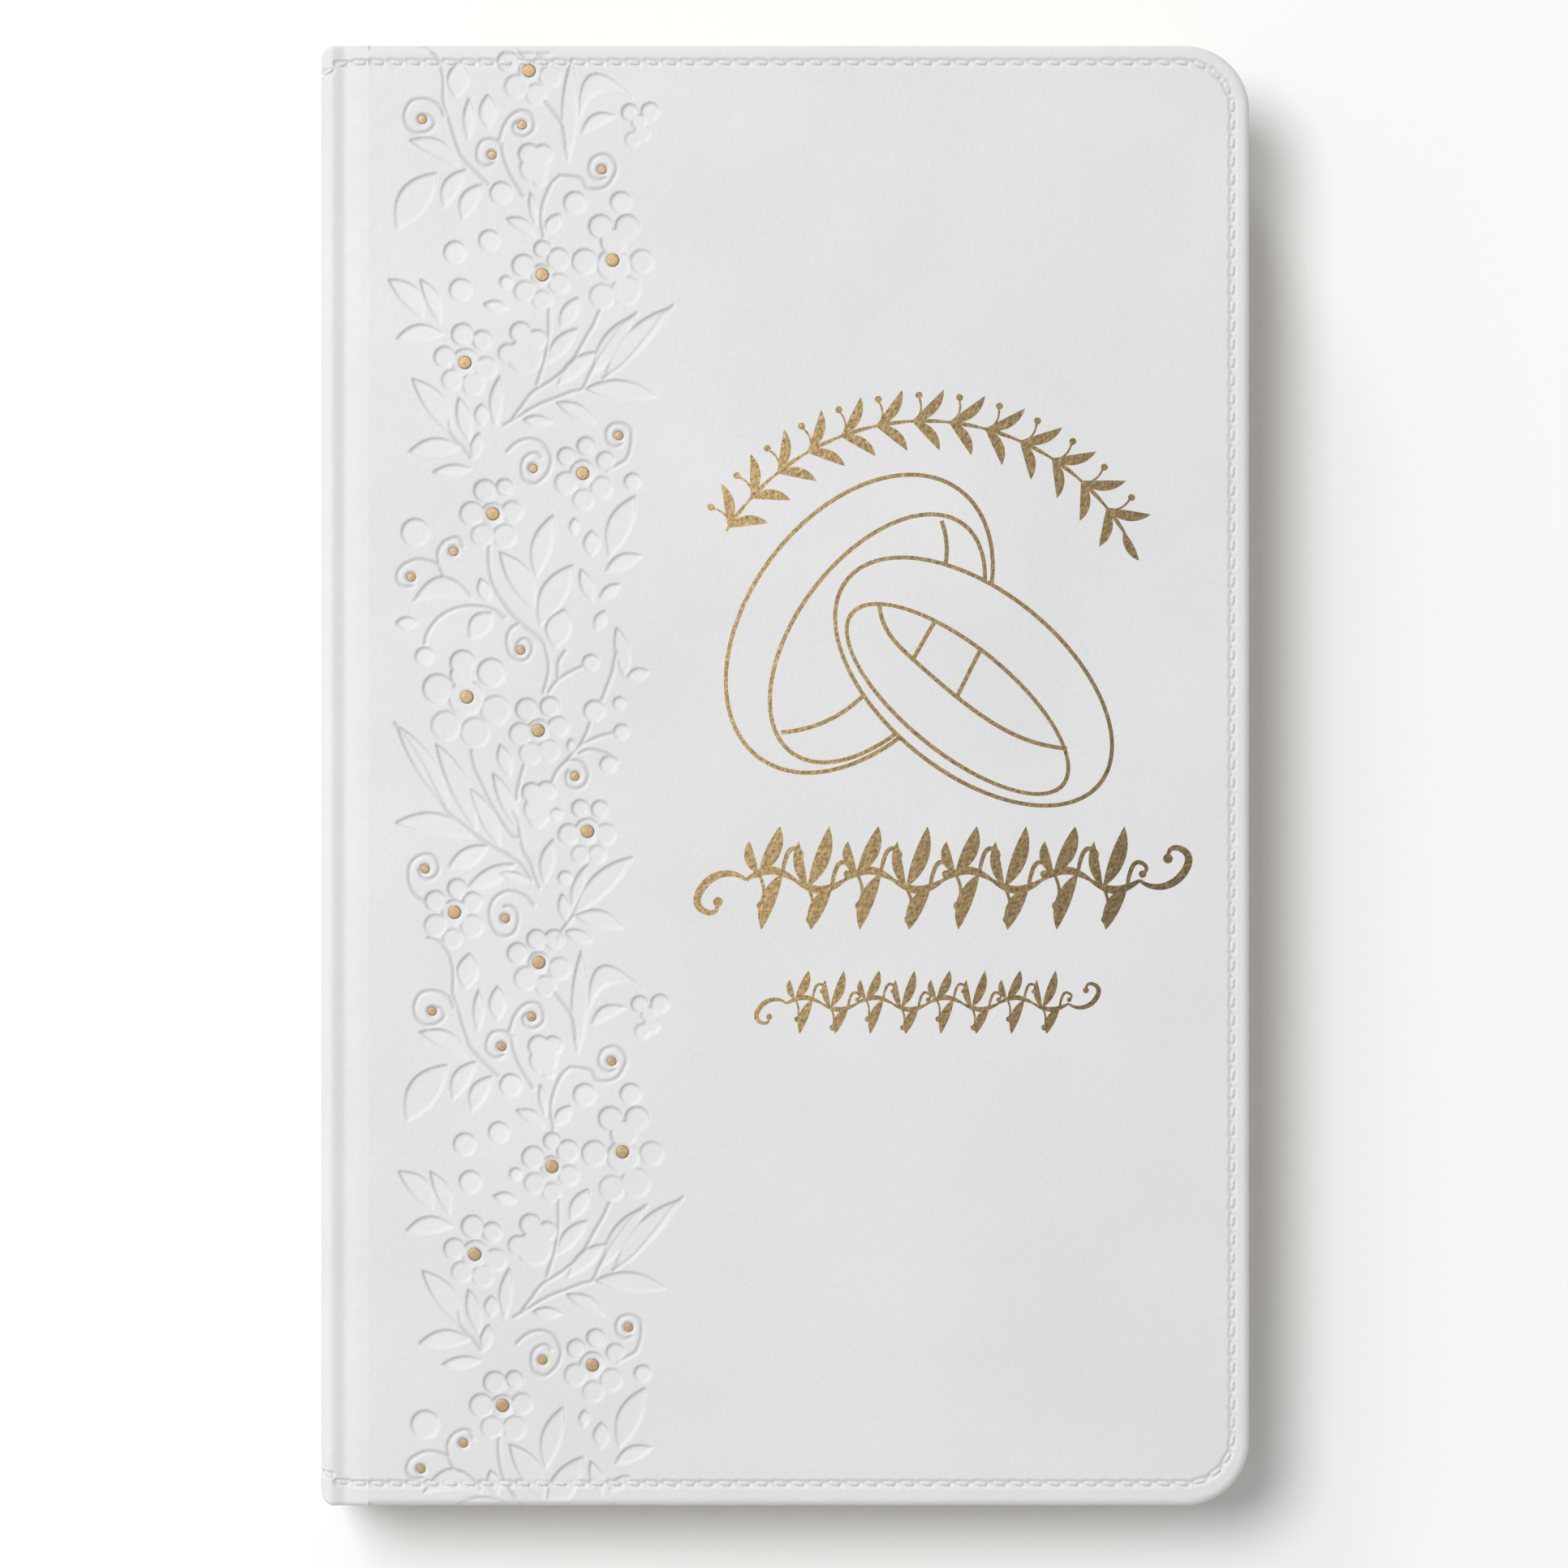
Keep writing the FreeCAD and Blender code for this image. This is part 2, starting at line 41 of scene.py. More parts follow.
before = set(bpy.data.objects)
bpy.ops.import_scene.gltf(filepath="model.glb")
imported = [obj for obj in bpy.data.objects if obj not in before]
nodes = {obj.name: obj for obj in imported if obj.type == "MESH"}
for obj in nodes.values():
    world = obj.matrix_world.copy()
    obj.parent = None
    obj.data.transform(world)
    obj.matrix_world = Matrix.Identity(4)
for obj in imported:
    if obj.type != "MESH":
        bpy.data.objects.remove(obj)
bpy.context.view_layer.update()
MM = 0.001


def box_mm(node):
    low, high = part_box(node)
    return [v / MM for v in low], [v / MM for v in high]


# ---- Sizes read from the frame ----
(X_JOINT, _, Z_CASE), (X_FORE, HALF, TOP) = box_mm("front_cover_leather")
X_SPINE = -X_FORE
CASE = TOP - Z_CASE
(X_PAGES_IN, _, _), (X_PAGES, HALF_PAGES, _) = box_mm("section_01")
Z_PAGES_TOP = box_mm("section_10")[1][2]

# ---- Sizes shared with the case ----
CORNER = 9.3                # fore-edge corners of the covers
SPINE_CORNER = 2.0
EDGE_ROUND = 1.0
LEATHER = 0.6
JOINT_DROP = 4.2
STITCH_INSET = 2.45
STITCH_INSET_TAIL = 3.2
STITCH_PITCH = 2.63
STITCH_LENGTH = 1.9
STITCH_RADIUS = 0.3
STITCH_SLANT = math.radians(5.0)
Y_HEAD_ROW = HALF - STITCH_INSET
Y_TAIL_ROW = -HALF + STITCH_INSET_TAIL
ROW_BEND = 2.0              # a stitched row moves in by this much at the spine's corner
ROW_BEND_RUN = 4.5          # and starts to bend this far from the spine
PASTEDOWN = 0.2
PAGE_CORNER = 8.0
STRIP_END = 1.2             # folded end of a joint strip
SPINE_END = 1.4             # folded end of the spine leather

# ---- Depths of the stamping ----
FLOWER_DEPTH = 0.38
BERRY_DEPTH = 0.36
LEAF_DEPTH = 0.34
SPIRAL_DEPTH = 0.32
STEM_DEPTH = 0.3
GROOVE_HALF_WIDTH = 0.34
DIMPLE_DEPTH = 0.3          # leather pulled down along a stitch
DIMPLE_HALF_WIDTH = 0.62
DOT_HOLE_DEPTH = 0.42
DOT_DEPTH = 0.31            # rim of a gold disc, below the leather
DOT_SWELL = 0.02
BAND_START = X_SPINE + 9.0
BAND_END = X_SPINE + 52.5


# ---- Small helpers ----
def ramp(t):
    t = np.clip(t, 0.0, 1.0)
    return t * t * (3 - 2 * t)


def spaced(*runs):
    """Places from run to run, each run given as (end, step) after the first place."""
    places = [runs[0]]
    for end, step in runs[1:]:
        count = max(1, round(abs(end - places[-1]) / step))
        places.extend(np.linspace(places[-1], end, count + 1)[1:])
    return np.array(places)


def smooth_path(points, per_span=5):
    """Catmull-Rom curve through the points."""
    p = np.array(points, float)
    p = np.vstack([2 * p[0] - p[1], p, 2 * p[-1] - p[-2]])
    t = np.linspace(0, 1, per_span, endpoint=False)[:, None]
    spans = []
    for a, b, c, d in zip(p, p[1:], p[2:], p[3:]):
        spans.append(0.5 * (2 * b + (c - a) * t + (2 * a - 5 * b + 4 * c - d) * t ** 2
                            + (3 * b - a - 3 * c + d) * t ** 3))
    return np.vstack(spans + [p[-2:-1]])


def grid_faces(rows, columns, offset=0, closed=False):
    index = np.arange(rows * columns).reshape(rows, columns) + offset
    if closed:
        index = np.concatenate([index, index[:, :1]], axis=1)
    return np.stack([index[:-1, :-1], index[:-1, 1:], index[1:, 1:], index[1:, :-1]], axis=-1).reshape(-1, 4)


def make_piece(name, points, faces, material, smooth=True):
    """Mesh object from points in millimetres."""
    points = np.asarray(points, float)
    mesh = bpy.data.meshes.new(name)
    mesh.from_pydata((points * MM).tolist(), [], [list(f) for f in np.asarray(faces).tolist()]
                     if isinstance(faces, np.ndarray) else faces)
    mesh.validate()
    mesh.polygons.foreach_set("use_smooth", [smooth] * len(mesh.polygons))
    piece = bpy.data.objects.new(name, mesh)
    bpy.context.scene.collection.objects.link(piece)
    for m in material if isinstance(material, (list, tuple)) else [material]:
        mesh.materials.append(m)
    return piece


# ---- Materials ----
class Shader:
    """Principled material with its texture coordinates in millimetres."""

    def __init__(self, name, colour, roughness, **settings):
        self.material = bpy.data.materials.new(name)
        self.material.use_nodes = True
        self.tree = self.material.node_tree
        self.surface = self.tree.nodes["Principled BSDF"]
        self.surface.inputs["Base Color"].default_value = (*colour, 1)
        self.surface.inputs["Roughness"].default_value = roughness
        for socket, value in settings.items():
            self.surface.inputs[socket.replace("_", " ")].default_value = value
        self.place = self.add("ShaderNodeTexCoord").outputs["Object"]

    def add(self, kind, inputs=None, **settings):
        node = self.tree.nodes.new(kind)
        for key, value in settings.items():
            setattr(node, key, value)
        for key, value in (inputs or {}).items():
            if isinstance(value, bpy.types.NodeSocket):
                self.tree.links.new(value, node.inputs[key])
            else:
                node.inputs[key].default_value = value
        return node

    def scaled(self, x, y, z):
        """Object coordinates with features of about x, y and z millimetres."""
        scale = tuple(1 / (MM * v) for v in (x, y, z))
        return self.add("ShaderNodeMapping", {"Vector": self.place, "Scale": scale}).outputs["Vector"]

    def noise(self, size, detail=3.0, roughness=0.5):
        sizes = size if isinstance(size, tuple) else (size, size, size)
        return self.add("ShaderNodeTexNoise", {"Vector": self.scaled(*sizes), "Scale": 1.0, "Detail": detail,
                                               "Roughness": roughness}).outputs["Fac"]

    def cells(self, size, feature="F1"):
        return self.add("ShaderNodeTexVoronoi", {"Vector": self.scaled(size, size, size), "Scale": 1.0},
                        feature=feature).outputs["Distance"]

    def bands(self, size, direction, distortion=0.0):
        return self.add("ShaderNodeTexWave", {"Vector": self.scaled(size, size, size), "Scale": 0.3142,
                                              "Distortion": distortion, "Detail": 2.0},
                        bands_direction=direction).outputs["Fac"]

    def fit(self, value, low, high, to_low, to_high):
        return self.add("ShaderNodeMapRange", {"Value": value, "From Min": low, "From Max": high,
                                               "To Min": to_low, "To Max": to_high}).outputs["Result"]

    def math(self, operation, a, b):
        return self.add("ShaderNodeMath", {0: a, 1: b}, operation=operation).outputs[0]

    def blend(self, factor, a, b):
        node = self.add("ShaderNodeMix", {0: factor}, data_type="RGBA")
        for key, value in ((6, a), (7, b)):
            if isinstance(value, bpy.types.NodeSocket):
                self.tree.links.new(value, node.inputs[key])
            else:
                node.inputs[key].default_value = (*value, 1)
        return node.outputs[2]

    def set(self, socket, value):
        self.tree.links.new(value, self.surface.inputs[socket])

    def bump(self, height, depth, strength=1.0):
        """Relief of the height, 0 to 1, depth in millimetres."""
        node = self.add("ShaderNodeBump", {"Height": height, "Distance": depth * MM, "Strength": strength})
        self.set("Normal", node.outputs["Normal"])


def leather_material():
    """Smooth coated leather, darker where stamped: partly burnish, partly painted shade in grooves and on
    walls facing away from the light.
    """
    s = Shader("white_leather", (0.67, 0.672, 0.672), 0.5, Specular_IOR_Level=0.38, Coat_Weight=0.05,
               Coat_Roughness=0.35)
    cloud = s.fit(s.noise(26.0, 4.0), 0.3, 0.7, 0.0, 1.0)
    plain = s.blend(cloud, (0.65, 0.653, 0.655), (0.69, 0.691, 0.689))
    # Painted shade, partly burnish: a per-point amount from the stamp darkens the base colour to warm grey in
    # grooves and on walls facing away from the light.
    burnish_and_shade = s.add("ShaderNodeAttribute", attribute_name="burnish_and_shade").outputs["Fac"]
    s.set("Base Color", s.blend(burnish_and_shade, plain, (0.3, 0.295, 0.27)))
    s.set("Roughness", s.fit(s.noise(3.0), 0.3, 0.7, 0.46, 0.56))
    pores = s.fit(s.cells(0.7, "SMOOTH_F1"), 0.0, 0.6, 0.0, 0.6)
    s.bump(s.math("ADD", pores, s.fit(s.noise(2.2, 4.0), 0.0, 1.0, 0.0, 0.6)), 0.028)
    return s.material


def gold_material():
    """Hammered gold foil, painted lighter towards the spine, where the lamps are, and painted darker, as
    shade, towards the fore edge.
    """
    s = Shader("gold_foil", (0.3, 0.22, 0.11), 0.38, Metallic=0.85)
    facets = s.fit(s.cells(0.55), 0.0, 0.8, 0.0, 0.45)
    mottle = s.math("ADD", s.fit(s.noise(0.7, 5.0, 0.6), 0.3, 0.7, 0.0, 0.55), facets)
    # Painted shade: across the cover the foil darkens from the spine towards the fore edge, away from the
    # lamps. bright and dark are its lit and shaded colours; the patches are random.
    across = s.add("ShaderNodeSeparateXYZ", {0: s.place}).outputs[0]
    patches = s.fit(s.noise(30.0), 0.3, 0.6, 0.7, 1.0)
    shade_to_fore_edge = s.math("MULTIPLY", s.fit(across, -5 * MM, 50 * MM, 0.0, 1.0), patches)
    bright = s.blend(mottle, (0.12, 0.08, 0.033), (0.48, 0.34, 0.16))
    dark = s.blend(mottle, (0.05, 0.038, 0.018), (0.22, 0.16, 0.08))
    s.set("Base Color", s.blend(shade_to_fore_edge, bright, dark))
    s.set("Roughness", s.fit(s.noise(0.6), 0.3, 0.7, 0.34, 0.52))
    s.bump(mottle, 0.03)
    return s.material


def dot_gold_material():
    """Paler foil of the small stamped discs."""
    s = Shader("gold_dots", (0.5, 0.37, 0.2), 0.42, Metallic=0.5)
    mottle = s.noise(0.5, 4.0)
    s.set("Base Color", s.blend(mottle, (0.3, 0.2, 0.1), (0.52, 0.38, 0.21)))
    s.bump(mottle, 0.03)
    return s.material


def thread_material():
    s = Shader("cover_thread", (0.7, 0.7, 0.69), 0.72, Specular_IOR_Level=0.3, Sheen_Weight=0.25)
    s.set("Base Color", s.blend(s.noise(0.35), (0.62, 0.62, 0.61), (0.74, 0.74, 0.73)))
    s.bump(s.noise((0.3, 0.12, 0.12)), 0.02)
    return s.material


def page_material():
    """Cream paper whose cut edges are gilt."""
    s = Shader("gilt_edged_pages", (0.82, 0.79, 0.7), 0.6, Specular_IOR_Level=0.4)
    normal = s.add("ShaderNodeTexCoord").outputs["Normal"]
    parts = s.add("ShaderNodeSeparateXYZ", {0: normal})
    flat = s.math("GREATER_THAN", s.math("ABSOLUTE", parts.outputs[2], 0.0), 0.5)
    spine = s.math("LESS_THAN", parts.outputs[0], -0.3)
    paper = s.math("MAXIMUM", flat, spine)
    fibre = s.blend(s.noise(1.5, 5.0), (0.78, 0.745, 0.66), (0.85, 0.82, 0.74))
    gilt = s.blend(s.noise((3.0, 3.0, 0.25), 4.0), (0.56, 0.45, 0.28), (0.8, 0.68, 0.46))
    s.set("Base Color", s.blend(paper, gilt, fibre))
    s.set("Metallic", s.fit(paper, 0.0, 1.0, 0.4, 0.0))
    s.set("Roughness", s.fit(paper, 0.0, 1.0, 0.42, 0.8))
    s.bump(s.bands(0.12, "Z", 1.5), 0.02, 0.6)
    return s.material


def paper_material(name, dark, light):
    s = Shader(name, light, 0.8, Specular_IOR_Level=0.3)
    s.set("Base Color", s.blend(s.noise(1.2, 6.0), dark, light))
    s.bump(s.noise(0.35, 5.0), 0.012)
    return s.material


def board_material():
    s = Shader("binders_board", (0.3, 0.27, 0.23), 0.9)
    s.set("Base Color", s.blend(s.noise((1.0, 1.0, 0.1), 6.0), (0.24, 0.215, 0.18), (0.38, 0.35, 0.3)))
    s.bump(s.noise((0.8, 0.8, 0.08), 5.0), 0.05)
    return s.material


def cloth_material(name, dark, light, pitch, directions):
    """Woven cloth with threads along two axes."""
    s = Shader(name, light, 0.85, Sheen_Weight=0.3)
    weave = s.math("MULTIPLY", s.bands(pitch, directions[0]), s.bands(pitch, directions[1]))
    s.set("Base Color", s.blend(weave, dark, light))
    s.bump(weave, 0.06)
    return s.material


def silk_material(name, dark, light):
    s = Shader(name, light, 0.42, Specular_IOR_Level=0.5, Sheen_Weight=0.4)
    s.set("Base Color", s.blend(s.noise((0.1, 0.1, 0.5)), dark, light))
    s.bump(s.noise((0.08, 0.08, 0.6)), 0.02)
    return s.material


WHITE_LEATHER = leather_material()
GOLD = gold_material()
DOT_GOLD = dot_gold_material()
THREAD = thread_material()
PAGES = page_material()
PAPER = paper_material("page_paper", (0.76, 0.73, 0.65), (0.86, 0.83, 0.76))
ENDPAPER = paper_material("endpaper", (0.76, 0.745, 0.7), (0.86, 0.845, 0.8))
BOARD = board_material()
SILK = silk_material("band_silk", (0.72, 0.7, 0.66), (0.86, 0.85, 0.82))
SILK_GOLD = silk_material("band_silk_gold", (0.5, 0.34, 0.12), (0.7, 0.52, 0.24))
LINEN = cloth_material("linen_thread", (0.6, 0.54, 0.42), (0.8, 0.75, 0.64), 0.3, "YZ")
MULL = cloth_material("mull_cloth", (0.62, 0.6, 0.54), (0.85, 0.83, 0.78), 0.8, "YZ")
KRAFT = paper_material("kraft_paper", (0.38, 0.27, 0.16), (0.52, 0.39, 0.25))


# ---- Stamped pattern of the front cover: one repeat, from the spine and down from the head ----
REPEAT = 128.0
REPEAT_SHIFT = 1.4
FLOWERS = [  # (gold centre, petals as x, y, radius)
    ((30.0, 3.6), [(27.0, 2.3, 1.6), (29.7, 0.3, 1.5), (32.2, 0.3, 1.5), (33.0, 4.5, 1.7), (31.0, 7.0, 1.6),
                   (28.2, 5.9, 1.8), (30.0, 3.6, 1.6)]),
    ((42.0, 30.8), [(40.3, 26.0, 1.8), (44.1, 26.0, 1.8), (42.2, 28.2, 2.0), (38.0, 31.0, 1.9),
                    (46.2, 31.0, 1.8),
                    (43.9, 35.2, 2.2), (40.5, 36.0, 1.9), (42.1, 31.5, 2.4)]),
    ((31.9, 32.9), [(29.2, 31.6, 1.7), (34.2, 30.7, 1.7), (34.3, 34.2, 1.6), (29.4, 35.3, 1.6),
                    (31.9, 36.6, 1.5),
                    (31.9, 29.2, 1.3), (31.8, 32.9, 1.6)]),
    ((20.8, 45.5), [(20.5, 41.5, 1.7), (23.3, 42.3, 1.5), (23.8, 46.3, 1.7), (17.9, 44.7, 1.6),
                    (19.0, 48.0, 1.6),
                    (22.0, 48.6, 1.7), (20.9, 45.4, 2.0)]),
    ((37.7, 61.4), [(38.2, 57.5, 1.4), (35.4, 59.0, 1.4), (41.0, 59.6, 1.4), (35.3, 62.8, 1.7),
                    (40.4, 63.5, 1.7),
                    (37.8, 65.2, 1.6), (37.7, 61.3, 1.9)]),
    ((24.8, 67.2), [(23.7, 63.9, 1.7), (26.5, 63.4, 1.3), (21.8, 67.2, 1.8), (27.6, 66.9, 1.6),
                    (23.3, 70.3, 1.7),
                    (26.5, 70.4, 1.8), (24.8, 67.2, 1.7)]),
    ((21.1, 93.5), [(20.5, 88.6, 1.9), (20.4, 90.4, 1.8), (24.6, 90.0, 2.1), (16.9, 92.3, 2.2),
                    (25.2, 95.4, 2.2),
                    (18.1, 97.6, 2.2), (22.3, 98.6, 2.2), (21.0, 93.6, 2.6)]),
    ((31.3, 98.3), [(29.7, 95.3, 1.7), (33.0, 94.9, 1.5), (34.2, 97.8, 1.6), (28.8, 98.8, 1.7),
                    (30.2, 101.6, 1.7),
                    (32.8, 101.2, 1.7), (31.4, 98.3, 1.7)]),
    ((38.4, 112.8), [(37.4, 109.5, 1.35), (40.2, 109.6, 1.35), (35.7, 113.2, 1.6), (41.0, 113.2, 1.6),
                     (37.4, 116.1, 1.4), (39.8, 116.1, 1.4), (38.4, 112.7, 1.9)]),
    ((19.3, 124.4), [(19.7, 121.0, 1.5), (16.6, 122.8, 1.6), (21.9, 122.9, 1.5), (16.6, 126.3, 1.7),
                     (21.8, 126.4, 1.7), (19.0, 128.2, 1.5), (19.3, 124.4, 1.9)]),
    (None, [(44.5, 9.6, 1.3), (47.4, 9.5, 1.4), (46.2, 12.6, 1.3), (44.9, 13.5, 1.2), (45.8, 11.0, 1.2)]),
    (None, [(36.6, 22.6, 1.7)]),
    (None, [(43.2, 22.5, 1.6)]),
    (None, [(30.0, 15.6, 1.6), (32.0, 15.6, 1.5), (30.7, 17.6, 2.1), (31.5, 19.4, 1.0)]),
    (None, [(28.8, 41.2, 1.6), (31.2, 42.2, 1.5), (27.0, 44.2, 1.5), (29.4, 44.6, 2.6)]),
    (None, [(30.4, 107.2, 1.5), (32.5, 107.0, 1.5), (31.4, 109.6, 2.2), (31.2, 111.2, 1.3)]),
]
SPIRALS = [  # (gold centre, groove from the stem inwards)
    ((14.7, 10.6), [(17.9, 10.1), (17.2, 8.7), (15.8, 7.9), (14.4, 7.7), (13.0, 8.2), (12.2, 9.9),
                    (12.5, 11.5),
                    (13.5, 12.5), (14.4, 12.6), (15.6, 12.3), (16.5, 11.3), (15.9, 10.3), (14.7, 9.9)]),
    ((29.0, 11.4), [(25.8, 13.6), (26.5, 11.5), (27.5, 10.1), (28.9, 9.4), (30.3, 9.9), (30.8, 11.3),
                    (30.5, 12.4),
                    (29.3, 13.1), (28.2, 12.7), (27.8, 11.7), (28.2, 11.0)]),
    ((24.7, 15.7), [(26.2, 14.3), (25.4, 13.7), (24.3, 13.5), (23.2, 13.9), (22.6, 15.2), (22.8, 16.6),
                    (23.9, 17.3), (25.0, 16.9)]),
    ((40.5, 17.8), [(34.5, 18.7), (36.5, 18.9), (37.7, 19.3), (38.6, 20.6), (40.7, 20.5), (41.9, 19.4),
                    (42.6, 17.6), (41.9, 16.2), (40.6, 15.7), (39.2, 16.3), (38.7, 17.6), (39.1, 18.8),
                    (40.0, 19.3), (41.0, 19.0)]),
    ((30.6, 60.7), [(26.9, 58.3), (28.2, 57.1), (30.0, 56.5), (31.9, 57.0), (33.0, 58.5), (33.2, 59.9),
                    (32.6, 61.5), (31.4, 62.7), (30.5, 62.9), (29.3, 62.2), (29.0, 60.6), (29.3, 59.4),
                    (30.3, 58.6), (31.2, 58.6), (31.8, 59.2)]),
    ((42.9, 56.0), [(41.3, 61.0), (42.8, 60.2), (44.0, 59.4), (44.6, 57.8), (44.8, 56.2), (44.6, 55.0),
                    (43.3, 54.3), (41.9, 54.5), (41.2, 55.5), (41.4, 56.9), (42.4, 57.6), (43.3, 57.3)]),
    ((19.2, 72.6), [(21.7, 79.2), (20.5, 77.8), (19.3, 76.9), (18.0, 76.4), (17.5, 75.5), (17.2, 74.7),
                    (17.0, 73.6), (17.1, 72.4), (17.9, 71.3), (19.2, 70.7), (20.1, 70.9), (20.6, 72.0)]),
    ((13.1, 76.3), [(17.2, 74.7), (16.1, 74.1), (14.4, 73.8), (13.0, 74.1), (11.6, 75.0), (11.1, 76.2),
                    (11.4, 77.2), (12.2, 77.7), (13.4, 77.6)]),
    ((28.8, 86.8), [(28.5, 83.1), (27.5, 83.7), (26.9, 85.0), (27.0, 86.4), (27.5, 87.6), (28.9, 88.4),
                    (30.1, 87.7), (30.5, 86.4), (30.1, 85.5), (29.2, 85.2), (28.3, 85.9)]),
    ((36.6, 104.9), [(33.3, 105.9), (34.0, 104.3), (35.1, 103.0), (36.3, 102.6), (37.7, 103.0), (38.5, 104.3),
                     (38.4, 105.5), (37.7, 106.4), (36.7, 106.7), (35.7, 106.2), (35.4, 105.0),
                     (35.7, 104.1)]),
    ((15.1, 118.2), [(15.0, 122.9), (14.0, 122.2), (13.1, 120.8), (12.8, 119.2), (13.0, 117.6), (14.0, 116.5),
                     (15.4, 116.1), (16.5, 116.5), (17.1, 117.8), (16.8, 119.0), (15.7, 119.7), (14.7, 119.3),
                     (14.2, 118.3)]),
    ((26.6, 125.3), [(30.8, 123.4), (29.8, 122.3), (28.6, 121.7), (27.2, 121.4), (25.8, 121.9), (24.8, 122.9),
                     (24.4, 124.5), (24.7, 126.2), (25.6, 127.6), (26.8, 127.9), (27.9, 127.3), (28.5, 125.7),
                     (28.3, 124.3), (27.5, 123.6), (26.5, 123.6)]),
]
STEMS = [
    [(14.2, 0.1), (15.8, 0.7), (17.2, 2.4), (17.8, 5.0), (17.8, 8.0), (18.6, 10.6), (20.0, 15.0),
     (21.2, 16.9),
     (24.3, 20.0)],
    [(26.2, 14.3), (26.5, 16.2), (27.5, 18.7), (29.3, 21.7)],
    [(32.3, 8.0), (33.5, 9.4), (34.9, 11.5), (35.3, 13.4), (35.3, 14.8)],
    [(34.5, 18.7), (33.5, 19.6), (32.7, 21.0), (32.0, 23.1), (31.8, 25.0), (32.2, 27.6)],
    [(32.9, 37.8), (32.9, 40.8), (32.7, 43.1), (32.3, 45.2), (31.2, 48.7)],
    [(40.2, 38.1), (39.3, 40.1), (38.2, 42.0), (36.5, 45.0), (35.1, 46.6), (33.0, 48.3), (30.6, 49.8),
     (29.1, 51.7), (27.7, 53.6)],
    [(26.5, 54.5), (28.1, 53.6), (30.0, 52.4), (31.9, 51.4), (34.0, 50.6), (36.3, 49.7), (37.8, 49.2),
     (38.8, 47.1), (40.5, 44.1), (41.9, 42.0), (43.5, 39.9), (45.5, 38.5)],
    [(50.7, 37.4), (48.9, 38.8), (47.2, 41.3), (45.4, 43.6), (43.5, 45.7), (40.7, 47.8)],
    [(18.5, 53.8), (18.8, 55.5), (19.9, 57.1), (20.6, 57.7), (21.8, 59.2)],
    [(24.3, 71.9), (24.3, 73.8), (24.5, 75.7), (25.1, 77.8), (26.5, 80.1), (27.7, 81.7), (29.3, 83.3),
     (30.9, 84.5), (32.2, 85.9), (32.7, 87.6), (32.9, 89.2), (32.7, 90.8), (32.1, 92.9)],
    [(15.1, 85.9), (15.4, 84.5), (16.5, 82.8), (17.9, 81.6), (20.0, 80.7), (22.1, 80.5), (24.7, 80.9),
     (26.6, 82.2)],
    [(42.7, 86.6), (42.3, 88.5), (41.9, 90.3), (40.5, 94.0)],
    [(37.6, 89.2), (36.5, 89.7), (35.1, 90.5), (34.0, 91.3), (32.8, 92.9)],
    [(35.2, 87.0), (34.3, 88.5), (34.2, 90.8)],
    [(42.2, 98.7), (40.2, 99.2), (38.6, 99.9), (37.4, 100.5), (36.3, 101.7), (34.0, 104.3)],
    [(38.8, 97.3), (38.4, 98.5), (37.4, 100.5)],
    [(37.2, 101.6), (38.6, 101.1), (40.0, 101.3), (41.6, 101.9), (42.6, 102.7)],
    [(21.8, 101.2), (22.3, 103.6), (23.5, 106.2), (24.9, 109.2), (26.3, 111.5), (27.7, 113.4), (28.5, 113.8)],
    [(29.3, 103.4), (28.8, 105.2), (28.4, 107.1), (28.3, 108.3)],
    [(27.7, 109.9), (28.5, 111.7), (28.9, 113.8), (29.3, 115.5), (30.3, 117.3), (30.9, 119.2), (31.6, 120.9)],
    [(10.8, 97.3), (12.8, 99.9), (14.9, 103.1), (16.3, 105.9), (18.4, 109.9), (20.3, 111.6), (22.1, 113.1),
     (24.3, 114.7), (26.5, 115.9), (28.2, 117.0), (29.3, 118.0), (30.5, 119.9)],
    [(33.9, 128.3), (34.9, 126.9), (36.4, 124.9)],
]
